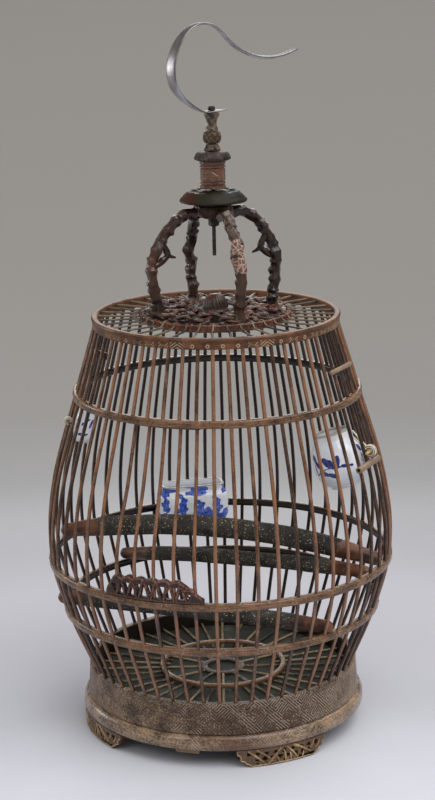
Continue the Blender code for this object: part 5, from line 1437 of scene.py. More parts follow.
@dataclass
class TopDeck:
    """The engraved rim, its splints and ties, the petal ring, the carved clouds and the boss."""

    shop: Workshop
    rim_radius: float = 0.1063
    rim_bore: float = 0.1008
    rim_low: float = 0.3546
    rim_high: float = 0.3639
    petal_radius: float = 0.0650
    petal_wall: float = 0.0046
    petal_low: float = 0.3595
    petal_high: float = 0.3663
    petal_count: int = 36
    first_deg: float = -92.0
    splint_z: float = 0.3617
    plate_z: float = 0.3663
    boss_radius: float = 0.0168
    boss_height: float = 0.0136
    boss_shares: tuple[Pair, ...] = (
        (0.02, 1.0), (0.20, 0.985), (0.38, 0.90), (0.52, 0.76), (0.64, 0.54), (0.71, 0.30), (0.73, 0.18),
    )

    def build_rim(self) -> None:
        """Rim with a bead along its upper edge and engraved figures below it."""
        radius, bore, low, high = self.rim_radius, self.rim_bore, self.rim_low, self.rim_high
        neck = radius - 0.0010
        outline = [
            (bore, low + 0.0006), (bore + 0.0006, low), (neck - 0.0006, low), (neck, low + 0.0006),
            (neck + 0.0001, low + 0.0022), (neck + 0.0001, low + 0.0042), (neck, high - 0.0034),
            (neck + 0.0002, high - 0.0031), (radius - 0.0003, high - 0.0028), (radius, high - 0.0018),
            (radius - 0.0003, high - 0.0008), (radius - 0.0012, high), (bore + 0.0010, high),
            (bore, high - 0.0010),
        ]

        def ripple(angle: Array, wide: Array, height: Array) -> tuple[Array, Array]:
            """Slight unevenness of a bent rim, kept inside its size."""
            return wide - 0.00012 * (1 + np.sin(4 * angle + 1)), height

        rim = Shell()
        rim.turn(outline, 216, ripple=ripple)
        self.shop.piece("engraved_rim", rim, "rim_engraving", "hoop_wood", replaces=["top_ring"])

    def build_splints(self) -> None:
        """Splints between the petal ring and the rim, and the cane ties over the petals."""
        chance = random.Random(22)
        fan, ties = Shell(), Shell()
        radius, top, deck = self.petal_radius, self.petal_high, self.splint_z
        corners = [
            (radius - 0.0062, top - 0.0004), (radius - 0.0042, top + 0.0003), (radius - 0.0014, top + 0.0003),
            (radius + 0.0003, top - 0.0012), (radius + 0.0006, deck + 0.0026),
            (radius + 0.0030, deck + 0.0010), (radius + 0.0068, deck + 0.0010),
        ]
        path = smooth_line(corners, 0.0008)
        for splint in range(self.petal_count):
            azimuth = self.first_deg + 360.0 * splint / self.petal_count
            skew = chance.uniform(-1.6, 1.6)
            reaches = np.linspace(radius - 0.002, self.rim_bore + 0.0006, 8)
            line = [polar(reach, azimuth + skew * (reach - 0.084) / 0.02, deck) for reach in reaches]
            fan.rod(line, 0.0012, 8, flat=(1.0, 0.72), up=UP, tone=chance.random())
            lean = chance.uniform(-1.5, 1.5)
            line = [
                polar(r, azimuth + lean * (number / len(path) - 0.5), z)
                for number, (r, z) in enumerate(path)
            ]
            ties.rod(
                line, 0.0008, 8, flat=(1.0, 0.5), up=tuple(polar(0.6, azimuth, 0.8)), tone=chance.random(),
            )
        self.shop.piece("rim_splints", fan, "splint_wood", "hoop_wood", replaces=["top_splints"])
        self.shop.piece("cane_ties", ties, "cane_tie", "hoop_wood")

    def build_petal_ring(self) -> None:
        """Ring of rounded petals, with painted shade in the notch under each meeting."""
        radius, thick, low, high = self.petal_radius, self.petal_wall, self.petal_low, self.petal_high
        first = math.radians(self.first_deg)

        def lobes(angle: Array) -> Array:
            """0 on a petal's crest and 1 at the notch."""
            return 1 - np.abs(np.cos((angle - first) * self.petal_count / 2))

        def ripple(angle: Array, wide: Array, height: Array) -> tuple[Array, Array]:
            """Draw the outer side in at the notches, most at its lower edge.

            Args:
                angle: Angle of each point.
                wide: Its radius.
                height: Its height.

            Returns:
                Its new radius and height.
            """
            notch = lobes(angle) ** 1.5
            outward = ((wide - radius + thick) / thick).clip(0, 1)
            down = ((high - height) / (high - low)).clip(0, 1)
            depth = 0.0022 * notch * outward * (0.35 + 0.65 * down)
            return wide - depth, height - 0.0007 * notch * (1 - down)

        def shade_and_bare(angle: Array, share: Array) -> Array:
            """Painted shade in the notches of the outer side."""
            return (lobes(angle) ** 3) * (np.abs(share - 0.3) < 0.22)

        ring = Shell()
        ring.turn(
            rounded_box((radius - thick, radius), (low, high), 0.0016, 4), 432, ripple=ripple, shade_and_bare=shade_and_bare,
        )
        self.shop.piece("ring_of_petals", ring, "petal_red", "carved_wood", replaces=["petal_ring"])

    def build_clouds(self) -> None:
        """Carved clouds and leaves that cover the pierced plate."""
        chance = random.Random(31)
        clouds = Shell()
        for radius, count, size, girth, lift in (
            (0.0525, 17, 0.0066, 0.0017, 0.0022), (0.0415, 13, 0.0068, 0.0019, 0.0034),
            (0.0325, 11, 0.0052, 0.0018, 0.0028),
        ):
            for number in range(count):
                azimuth = 360.0 * number / count + chance.uniform(-5, 5) + radius * 900
                centre = polar(radius, azimuth)
                size_now, start = size * chance.uniform(0.85, 1.15), azimuth + chance.uniform(-70, 70)
                path = curl(
                    (centre.x, centre.y), size_now, start, (-1) ** number * chance.uniform(0.85, 1.35),
                )
                share = np.linspace(0, 1, len(path))
                rise = lift * chance.uniform(0.5, 1.1)
                line = [
                    (x, y, self.plate_z + 0.0002 + rise * math.sin(2.4 * t))
                    for (x, y), t in zip(path, share)
                ]
                girths = girth * (0.55 + 0.55 * np.sin(math.pi * (0.15 + 0.7 * share)))
                clouds.rod(line, girths, 8, flat=(1.3, 0.7), up=UP, tone=chance.random())
        leaves = 34
        for number in range(leaves):
            azimuth = 360.0 * number / leaves + chance.uniform(-6, 6)
            radius = chance.choice((0.054, 0.045, 0.0345))
            turn = azimuth + chance.uniform(30, 150)
            length = chance.uniform(0.011, 0.018)
            start = polar(radius, azimuth, self.plate_z + chance.uniform(0.0, 0.0012))
            shares = np.linspace(0, 1, 12)
            line = [start + polar(length * t, turn + 40 * t, 0.0032 * math.sin(math.pi * t)) for t in shares]
            girths = leaf_girths(0.0036, 0.08, 0.95, 12)
            clouds.rod(line, girths, 8, flat=(1.0, 0.35), up=UP, tone=chance.random())
        self.shop.piece("carved_clouds", clouds, "crown_dark", "carved_wood")
        self.shop.dress("crown_plate", "crown_dark", 0.0004)

    def build_boss(self) -> None:
        """Domed boss with carved lappets, on a thin disc with a row of leaves round it."""
        foot = self.plate_z + 0.0003
        radius, height = self.boss_radius, self.boss_height
        disc, boss, leaves = Shell(), Shell(), Shell()
        corners = [(0.0150, 0.0), (0.0212, 0.0), (0.0218, 0.0022), (0.0188, 0.0036), (0.0150, 0.0026)]
        disc.turn(rounded([(wide, foot + level) for wide, level in corners], 0.0009), 96)
        self.shop.piece("boss_disc", disc, "disc_grey", "carved_wood")
        dome = [
            (radius * wide * 0.9, foot + height * level)
            for wide, level in smooth_line(self.boss_shares, 0.05)
        ]
        edge = foot + height * 0.14
        outline = [
            (0.0, foot + height), *dome, (radius * 0.80, edge), (radius * 0.97, edge), (radius, foot),
            (0.0, foot),
        ]

        def ripple(angle: Array, wide: Array, level: Array) -> tuple[Array, Array]:
            """Lappets down the dome's sides.

            Args:
                angle: Angle of each point.
                wide: Its radius.
                level: Its height.

            Returns:
                Its new radius and height.
            """
            share = ((level - foot) / height).clip(0, 1)
            wave = np.abs(np.sin(angle * 9 + share * 3.0)) ** 0.6
            band = np.sin(math.pi * share.clip(0.12, 1.0)) * (wide > radius * 0.15)
            return wide * (1 - 0.09 * (1 - wave) * band), level

        # Painted shade on the lower half of the dome and its underside.
        boss.turn(outline, 216, False, ripple=ripple, shade_and_bare=lambda angle, share: 0.5 * (share > 0.55))
        self.shop.piece("domed_boss", boss, "boss_dark", "carved_wood", replaces=["top_boss"])
        for number in range(18):
            shares = np.linspace(0, 1, 8)
            line = [
                polar(0.0205 + 0.0065 * t, 20.0 * number, foot + 0.0028 * math.cos(1.5 * t)) for t in shares
            ]
            leaves.rod(
                line, leaf_girths(0.0030, 0.25, 0.94, 8), 8, flat=(1.0, 0.4), up=UP, tone=number % 3 / 2,
            )
        self.shop.piece("boss_leaves", leaves, "crown_dark", "carved_wood")

    def build(self) -> None:
        """Build the whole deck."""
        self.build_rim()
        self.build_splints()
        self.build_petal_ring()
        self.build_clouds()
        self.build_boss()
        self.shop.dress("cloud_bracket", "crown_dark", 0.0006)


@dataclass
class CrownLegs:
    """Four gnarled legs, two of them forked and one with a carved barrel."""

    shop: Workshop
    first_deg: float = 22.0
    girth: float = 0.0042
    foot_radius: float = 0.0525
    sway: float = 0.0016
    hub_radius: float = 0.0158
    low: float = 0.3666
    high: float = 0.45101
    shares: tuple[Pair, ...] = (
        (0.02, 0.975), (0.17, 0.985), (0.34, 0.960), (0.57, 0.880), (0.76, 0.760), (0.90, 0.640),
        (0.985, 0.500), (1.0, 0.360), (0.965, 0.230), (0.90, 0.120),
    )
    sways: tuple[float, ...] = (0.0, 0.0, 0.3, -0.5, 0.4, 0.9, -0.6, 0.8, -0.8, 0.3, 0.0)
    barrel: Pair = (0.44, 0.80)
    fork: tuple[Pair, ...] = ((0.80, 0.74), (0.71, 0.67), (0.65, 0.605), (0.75, 0.545), (0.97, 0.485))
    thorns: tuple[tuple[Pair, ...], ...] = (
        ((0.68, 0.60), (0.56, 0.565), (0.45, 0.545)), ((0.68, 0.605), (0.56, 0.575), (0.46, 0.56)),
    )

    def point(self, reach: float, level: float, sway: float = 0.0) -> Vector:
        """Point of a leg in its own upright plane.

        Args:
            reach: Share of the way out from the hub.
            level: Share of the height over the plate.
            sway: Distance sideways.

        Returns:
            The point, with X away from the neck.
        """
        start = self.hub_radius + 0.0003
        widest = (self.foot_radius - start) / self.shares[-1][0] + start
        return Vector((start + (widest - start) * reach, sway, self.low + (self.high - self.low) * level))

    def build_leg(self, number: int) -> None:
        """One leg, with its knots, its thorn and what it carries.

        Args:
            number: The leg's number, from 0.
        """
        chance = random.Random(90 + number)
        turn = spun(self.first_deg + 90.0 * number)
        corners = []
        for place, (reach, level) in enumerate(self.shares):
            sway = self.sway * self.sways[(place + number) % len(self.sways)] if place >= 2 else 0.0
            corners.append(self.point(reach, level, sway))
        corners.append(Vector((self.foot_radius, 0, self.low)))
        line = [turn @ Vector(point) for point in smooth_line(corners, 0.0012)]
        length = sum((second - first).length for first, second in zip(line, line[1:]))
        knots = []
        place = 0.010
        while place < length - 0.006:
            size, width = chance.uniform(0.30, 0.62), chance.uniform(0.0013, 0.0028)
            knots.append((place, size, width, chance.uniform(0, math.tau)))
            place += chance.uniform(0.0065, 0.0105)

        def swell(along: Array, angle: Array) -> Array:
            """Knots, waists, ridges along the leg, and the spread of its foot.

            Args:
                along: Length along the leg.
                angle: Angle round it.

            Returns:
                Share by which its radius grows.
            """
            grown = 0.11 * np.sin(3 * angle + 110 * along) + 0.08 * np.sin(5 * angle - 260 * along) - 0.03
            for middle, size, width, side in knots:
                grown = grown + size * bell(along, middle, width) * (0.52 + 0.48 * np.cos(angle - side))
            foot = 0.5 * np.exp(-((length - along) / 0.005)) * (0.6 + 0.4 * np.cos(3 * angle))
            return grown + foot + 0.25 * np.exp(-(along / 0.007))

        def twig(corners: Route) -> list[Vector]:
            """Line of a twig through its (reach, level) corners."""
            points = [self.point(reach, level) for reach, level in corners]
            return [turn @ Vector(point) for point in smooth_line(points, 0.001)]

        def bark(along: Array, angle: Array) -> Array:
            """Rough bark on one side of a twig."""
            return 0.22 * np.sin(along * 700) * (0.5 + 0.5 * np.cos(angle))

        leg = Shell()
        leg.rod(line, self.girth, 20, Ends.FLAT, tone=0.3 + 0.15 * number, swell=swell)
        if number % 2 == 0:
            leg.rod(twig(self.fork), 0.0028, 14, tone=0.4, swell=bark)
            path = twig(self.thorns[number // 2])
            leg.rod(path, np.linspace(0.0027, 0.0007, len(path)), 10, tone=0.3)
        node = f"crown_leg_{number + 1}"
        self.shop.piece(f"gnarled_leg_{number + 1}", leg, "leg_dark", "dark_wood", replaces=[node])
        if number == 3:
            self.build_barrel(line)

    def build_barrel(self, line: Sequence[Vector]) -> None:
        """Carved barrel round the fourth leg.

        Args:
            line: The leg's centre line.
        """
        low, high = (self.low + (self.high - self.low) * share for share in self.barrel)
        inside = [
            point for number, point in enumerate(line) if low < point.z < high and number > len(line) / 4
        ]
        girths = 0.0062 * (0.78 + 0.22 * np.sin(np.pi * np.linspace(0, 1, len(inside))) ** 0.35)

        def swell(along: Array, angle: Array) -> Array:
            """Six flat sides."""
            return flat_sides(angle + math.pi / 6, 6) - 1.0

        barrel = Shell()
        barrel.rod(inside, girths, 30, tone=0.6, swell=swell)
        self.shop.piece("carved_barrel", barrel, "barrel_carving", "dark_wood")

    def build(self) -> None:
        """Build the four legs."""
        for number in range(4):
            self.build_leg(number)


@dataclass
class NeckStack:
    """Hub, canopy, drum, disc, collar, bead and finial on the rod: lowest height, height and radius."""

    shop: Workshop
    bore: float = 0.0020
    hub: Triple = (0.4445, 0.0118, 0.0158)
    canopy: Triple = (0.4566, 0.0132, 0.0285)
    drum: Triple = (0.4701, 0.0232, 0.0110)
    cap: Triple = (0.4936, 0.0070, 0.0154)
    collar: Triple = (0.5009, 0.0060, 0.0070)
    bead: Triple = (0.5072, 0.0104, 0.0074)
    finial: Triple = (0.5179, 0.0146, 0.0066)
    hub_shares: Route = (
        (0.80, 1.0), (0.96, 0.94), (1.0, 0.80), (0.98, 0.55), (0.90, 0.32), (0.72, 0.10), (0.5, 0.0),
    )
    canopy_shares: Route = (
        (0.30, 0.90), (0.42, 0.86), (0.50, 0.80), (0.62, 0.86), (0.72, 0.86), (0.82, 0.72), (0.92, 0.50),
        (0.98, 0.36), (1.0, 0.27), (0.985, 0.19), (0.93, 0.16), (0.80, 0.14), (0.62, 0.02), (0.55, 0.0),
    )
    drum_shares: Route = (
        (0.80, 1.0), (0.97, 0.995), (1.0, 0.96), (0.98, 0.88), (0.90, 0.86), (0.90, 0.845), (1.0, 0.825),
        (1.0, 0.77), (0.90, 0.75), (0.90, 0.735), (0.965, 0.72), (0.955, 0.50), (0.965, 0.28), (0.90, 0.265),
        (0.90, 0.25), (1.0, 0.235), (1.0, 0.17), (0.90, 0.155), (0.90, 0.14), (0.99, 0.125), (0.99, 0.02),
        (0.95, 0.0), (0.80, 0.0),
    )
    cap_shares: Route = (
        (0.60, 1.0), (0.78, 0.97), (0.88, 0.82), (0.95, 0.55), (1.0, 0.26), (0.99, 0.12), (0.92, 0.02),
        (0.70, 0.0),
    )
    collar_shares: Route = (
        (0.62, 1.0), (0.74, 0.90), (0.82, 0.62), (0.95, 0.40), (1.0, 0.22), (0.98, 0.10), (0.90, 0.0),
    )
    bead_shares: Route = ((0.70, 1.0), (0.90, 0.90), (1.0, 0.72), (1.0, 0.32), (0.90, 0.12), (0.66, 0.0))
    finial_shares: Route = (
        (0.70, 1.0), (0.96, 1.0), (1.0, 0.94), (0.90, 0.82), (0.70, 0.62), (0.60, 0.42), (0.66, 0.24),
        (0.80, 0.10), (0.82, 0.0),
    )

    def turned(
        self, name: str, node: str, size: Triple, shares: Route, looks: tuple[str, str], ripple: Ripple,
        spacing: float = 0.03, sharp_deg: float = 40.0,
    ) -> None:
        """One turned piece, bored for the rod.

        Args:
            name: Its name.
            node: CAD node that it stands for.
            size: Its lowest height, its own height and its radius.
            shares: (radius share, height share) corners from the top down.
            looks: Name of its finish, and material slot of the record.
            ripple: Change of its shape round the turn.
            spacing: Share between the points of its outline; 0 keeps the corners sharp.
            sharp_deg: Angle above which an edge stays sharp.
        """
        low, height, radius = size
        dense = smooth_line(shares, spacing) if spacing else np.asarray(shares, float)
        outline = [(self.bore, low + height * dense[0][1])]
        outline += [(radius * wide, low + height * level) for wide, level in dense]
        outline += [(self.bore, low + height * dense[-1][1])]
        shell = Shell()
        shell.turn(outline, 96, ripple=ripple)
        self.shop.piece(name, shell, *looks, replaces=[node], sharp_deg=sharp_deg)

    @staticmethod
    def lobed(count: int, depth: float) -> Ripple:
        """Lobes round a piece, of a depth share."""
        return lambda angle, wide, z: (wide * (1 - depth * (1 - np.abs(np.cos(angle * count / 2)))), z)

    def lotus(self, angle: Array, wide: Array, level: Array) -> tuple[Array, Array]:
        """Petals pressed into the canopy's top, round the drum.

        Args:
            angle: Angle of each point.
            wide: Its radius.
            level: Its height.

        Returns:
            Its new radius and height.
        """
        low, height, radius = self.canopy
        band = bell(wide / radius, 0.58, 0.13) * (level > low + height * 0.5)
        return wide, level - 0.0011 * band * (1 - np.abs(np.cos(angle * 6))) ** 0.7

    def squared(self, angle: Array, wide: Array, level: Array) -> tuple[Array, Array]:
        """Four flats with blunt corners, one of them towards the front, at each point's angle."""
        flat = np.minimum(flat_sides(angle, 4) * 1.08, 1.0)
        return wide * np.where(wide > self.bore * 1.5, flat, 1.0), level

    def flared(self, angle: Array, wide: Array, level: Array) -> tuple[Array, Array]:
        """Four corners that open towards the finial's top.

        Args:
            angle: Angle of each point.
            wide: Its radius.
            level: Its height.

        Returns:
            Its new radius and its height.
        """
        share = ((level - self.finial[0]) / self.finial[1]).clip(0, 1)
        strength = (0.45 + 0.30 * share) * (wide > self.bore * 1.5)
        return wide * (1 + (flat_sides(angle, 4) - 1) * strength), level

    def build(self) -> None:
        """Build the whole stack."""
        crown, canopy, disc = ((finish, "dark_wood") for finish in ("crown_dark", "canopy_dark", "disc_grey"))
        brass, facets = ((finish, "old_brass") for finish in ("old_brass", "brass_facets"))
        drum = ("drum_red", "carved_wood")
        self.turned("carved_hub", "leg_hub", self.hub, self.hub_shares, crown, self.lobed(8, 0.10))
        self.turned("domed_canopy", "canopy_dish", self.canopy, self.canopy_shares, canopy, self.lotus)
        self.turned("grooved_drum", "neck_drum", self.drum, self.drum_shares, drum, self.lobed(8, 0.035), 0.0)
        scratch = Shell()
        low, height, radius = self.drum
        places = ((-93.0, 0.62), (-80.0, 0.54), (-67.0, 0.47))
        line = [polar(radius * 0.955, azimuth, low + height * level) for azimuth, level in places]
        scratch.rod(line, 0.0004, 8, tone=0.8)
        self.shop.piece("drum_inlay", scratch, "peg_bamboo", "carved_wood")
        self.turned("scrolled_disc", "cap_disc", self.cap, self.cap_shares, disc, self.lobed(10, 0.03))
        self.turned(
            "flared_collar", "neck_collar", self.collar, self.collar_shares, brass, self.squared, 0.05, 24.0,
        )
        self.turned(
            "engraved_bead", "faceted_bead", self.bead, self.bead_shares, facets, self.squared, 0.05, 20.0,
        )
        self.turned(
            "flared_finial", "finial", self.finial, self.finial_shares, brass, self.flared, 0.05, 24.0,
        )
        self.shop.dress("swivel_rod", "iron")
        self.shop.dress("rod_nut", "iron", 0.0004)


@dataclass
class SteelHook:
    """Polished band that turns on the rod; its route is (x, z, width, thickness) in shares of its sizes."""

    shop: Workshop
    turn_deg: float = 32.0
    reach: float = 0.0866
    rise: float = 0.0725
    width: float = 0.0146
    thickness: float = 0.0024
    eye_z: float = 0.5337
    eye_bore: float = 0.0019
    sides: int = 28
    route: tuple[tuple[float, float, float, float], ...] = (
        (0.170, 0.010, 0.26, 0.60), (0.090, 0.002, 0.52, 0.72), (0.0, 0.0, 0.60, 0.76),
        (-0.075, 0.0, 0.62, 0.84), (-0.150, 0.030, 0.70, 1.10), (-0.240, 0.095, 0.84, 1.20),
        (-0.348, 0.200, 0.96, 1.15), (-0.425, 0.345, 1.0, 1.0), (-0.442, 0.510, 1.0, 1.0),
        (-0.402, 0.700, 0.95, 1.0), (-0.318, 0.865, 0.78, 1.0), (-0.208, 0.966, 0.58, 1.0),
        (-0.097, 1.0, 0.44, 1.0), (0.015, 0.978, 0.38, 1.0), (0.112, 0.905, 0.38, 1.1),
        (0.199, 0.798, 0.40, 1.2), (0.301, 0.702, 0.42, 1.3), (0.418, 0.630, 0.40, 1.4),
        (0.531, 0.588, 0.38, 1.4), (0.648, 0.570, 0.36, 1.35), (0.806, 0.583, 0.34, 1.3),
        (1.0, 0.646, 0.28, 1.1),
    )

    def section(self) -> list[Pair]:
        """Section of the band, flatter than an oval and ridged on its outer side.

        Returns:
            Its points, as shares of half the width and half the thickness.
        """
        points = []
        for number in range(self.sides):
            angle = math.tau * number / self.sides
            side, lift = math.cos(angle), math.sin(angle)
            lift = math.copysign(abs(lift) ** 0.9, lift)
            points.append((math.copysign(abs(side) ** 0.75, side), lift * (1.0 if lift < 0 else 0.8)))
        return points

    def build(self) -> None:
        """Loft the band along its curve, round its ends off, and drill its eye."""
        table = np.array([(self.reach * x, self.rise * z, wide, thick) for x, z, wide, thick in self.route])
        steps = lengths_along(table[:, :2])
        line = smooth_line(table[:, :2], 0.0009)
        along = lengths_along(line)
        along *= steps[-1] / along[-1]
        wide = np.interp(along, steps, table[:, 2]) * self.width / 2
        thick = np.interp(along, steps, table[:, 3]) * self.thickness / 2
        tip = np.minimum(along / 0.0012, (along[-1] - along) / 0.0012).clip(0.05, 1.0)
        tips = np.sqrt(1 - (1 - tip) ** 2)
        tangent = np.gradient(line, axis=0)
        tangent /= np.linalg.norm(tangent, axis=1)[:, None]
        turn = spun(self.turn_deg)
        section = self.section()
        rows = []
        for (x, z), (run, climb), half, tall, end in zip(line, tangent, wide, thick, tips):
            ring = [
                (x - climb * tall * lift * end, half * side * end, z + run * tall * lift * end)
                for side, lift in section
            ]
            rows.append([turn @ Vector((a, b, c + self.eye_z)) for a, b, c in ring])
        band = Shell()
        around = np.linspace(0, 0.03, self.sides + 1)
        band.grid(np.array(rows, float), paired(along[:, None], around[None, :]), (False, True), True)
        self.bore(self.shop.piece("steel_band_hook", band, "steel", "polished_steel", "hook", ["hook"], 60.0))

    def bore(self, hook: bpy.types.Object) -> None:
        """Drill the eye that the rod passes through.

        Args:
            hook: The hook.
        """
        made = bmesh.new()
        bmesh.ops.create_cone(
            made, cap_ends=True, segments=32, radius1=self.eye_bore, radius2=self.eye_bore, depth=0.01,
        )
        mesh = bpy.data.meshes.new("eye_drill")
        made.to_mesh(mesh)
        made.free()
        drill = add_object("eye_drill", mesh)
        drill.location.z = self.eye_z
        modifier = hook.modifiers.new("eye", "BOOLEAN")
        modifier.object = drill
        modifier.solver = "EXACT"
        bpy.context.view_layer.update()
        graph = bpy.context.evaluated_depsgraph_get()
        bored = bpy.data.meshes.new_from_object(hook.evaluated_get(graph), depsgraph=graph)
        hook.modifiers.clear()
        hook.data = bored
        bpy.data.objects.remove(drill, do_unlink=True)


@dataclass
class SlidingDoor:
    """The door's bars, its rail and the carved plaque at its foot."""

    shop: Workshop
    wall: CageWall
    bar_radius: float = 0.0015
    route: tuple[Pair, ...] = ((0.1468, 0.1551), (0.14784, 0.18188), (0.12785, 0.2499), (0.1150, 0.2959))
    rail_depth: float = 0.0026
    rail_height: float = 0.0040
    left_deg: float = -129.3
    right_deg: float = -95.4
    sill: float = 0.1548
    height: float = 0.0192
    circle: float = 0.1468
    depth: float = 0.0050
    crest: tuple[float, ...] = (
        0.20, 0.62, 0.96, 0.86, 1.0, 0.90, 1.0, 0.92, 1.0, 0.92, 1.0, 0.90, 0.98, 0.82, 0.60, 0.36, 0.18,
    )
    hole_count: int = 13
    pitch: float = 0.0053
    leaf: tuple[Pair, ...] = ((0.80, 0.0105), (0.86, 0.0122), (0.93, 0.0076), (0.985, 0.0026))

    def build_bars(self) -> None:
        """The door's bars and the rail that holds their upper ends."""
        chance = random.Random(5)
        rods, rail = Shell(), Shell()
        first, wall = self.wall.door_first, self.wall
        for index in range(first, first + wall.door_count):
            tone = chance.uniform(0.2, 0.8)
            # inner_axis paints shade on the side of each door bar that faces into the cage.
            rods.rod(
                wall.bar_line(index, self.route), self.bar_radius, 10, Ends.FLAT, tone=tone, inner_axis=True,
            )
        self.shop.piece("door_rods", rods, "red_bamboo", "bamboo_bar", "door", ["door_bars"])
        radius, top = self.route[-1]
        z = top - 0.0010 - self.rail_height / 2
        azimuths = np.linspace(wall.azimuth(first) - 1.6, wall.azimuth(first + wall.door_count - 1) + 1.6, 40)
        line = [polar(radius, azimuth, z) for azimuth in azimuths]
        rail.rod(
            line, self.rail_height / 2, 12, flat=(self.rail_depth / self.rail_height, 0.98), up=UP, tone=0.4,
        )
        self.shop.piece("door_rail", rail, "hoop_bamboo", "bamboo_bar", "door")

    def place(self, point: Vector) -> Vector:
        """Lay an (along, up, outwards) point of the flat plaque on the wall's curve."""
        azimuth = self.left_deg + math.degrees(point.x / self.circle)
        return polar(self.circle + point.z, azimuth, self.sill + point.y)

    def line(self, path: Route, sunk: float, floor: float = 0.0) -> list[Vector]:
        """Line on the plaque's face.

        Args:
            path: (along, up) points.
            sunk: How far under the face it lies.
            floor: Lowest height that it keeps to.

        Returns:
            The points on the wall.
        """
        face = self.depth / 2 - sunk
        return [self.place(Vector((float(along), float(max(up, floor)), face))) for along, up in path]

    def build_plaque(self) -> None:
        """Pierced plaque with carved ribs, loops and a long leaf."""
        length = self.circle * math.radians(self.right_deg - self.left_deg)
        tops = smooth_line(
            [(length * n / 16, self.height * share) for n, share in enumerate(self.crest)], 0.0012,
        )
        outline = [(0.0, 0.0), *[(float(x), float(min(y, self.height))) for x, y in tops], (length, 0.0)]
        chance = random.Random(12)
        holes, ribs = [], []
        pitch = self.pitch
        for number in range(self.hole_count):
            x = length * 0.115 + pitch * number
            top = float(np.interp([x - pitch * 0.7, x, x + pitch * 0.7], tops[:, 0], tops[:, 1]).min())
            half, high, low = pitch * 0.70, top * chance.uniform(0.74, 0.82), 0.0024
            apex = x + chance.uniform(-0.0007, 0.0007)
            base, point = (low, high) if number % 2 else (high, low)
            holes.append(rounded([(x - half, base), (x + half, base), (apex, point)], 0.0010, 2))
            lean = pitch * 0.35 * (1 if number % 2 else -1)
            rib = x + pitch / 2
            bend = chance.uniform(-0.0004, 0.0004)
            ribs.append([(rib + lean, 0.0012), (rib + bend, top / 2), (rib - lean, top - 0.0010)])
        mesh = pierced_plate("plaque", [outline, *holes], self.depth, 0.0004, self.place)
        # Its ground finish is painted darker than the relief, a painted shade.
        self.shop.piece("pierced_plaque", mesh, "plaque_ground_painted_shade", "carved_wood", "door", ["door_plaque"])
        relief = Shell()
        paths = [smooth_line(rib, 0.0008) for rib in ribs]
        for number in range(0, self.hole_count, 3):
            centre = (length * 0.115 + pitch * (number + 0.2), self.height * (0.62 if number % 2 else 0.36))
            paths.append(curl(centre, 0.0026, 250 + 40 * number, 0.8 * (-1) ** number))
        for number, path in enumerate(paths):
            girths = leaf_girths(0.0012, 0.22, 0.80, len(path))
            relief.rod(self.line(path, 0.0002, 0.001), girths, 8, tone=0.2 + 0.05 * (number % 12))
        leaf = smooth_line([(length * share, up) for share, up in self.leaf], 0.0008)
        relief.rod(self.line(leaf, 0.0002), leaf_girths(0.0021, 0.2, 0.93, len(leaf)), 10, tone=0.7)
        crest = [(x, min(y, self.height) - 0.0010) for x, y in tops[2:-2]]
        relief.rod(self.line(crest, 0.0004, 0.0012), 0.0010, 8, tone=0.6)
        foot = [(x, 0.0011) for x in np.linspace(0.001, length - 0.001, 40)]
        relief.rod(self.line(foot, 0.0003), 0.0009, 8, tone=0.3)
        self.shop.piece("plaque_relief", relief, "carved_red", "carved_wood", "door")

    def build(self) -> None:
        """Build the whole door."""
        self.build_bars()
        self.build_plaque()


@dataclass(frozen=True)
class Perch:
    """One perch: its ends, its rise at mid length, its radii at mid length and at the ends, and its seed."""

    name: str
    node: str
    start: Vector
    end: Vector
    bow: float
    middle: float
    tip: float
    seed: int


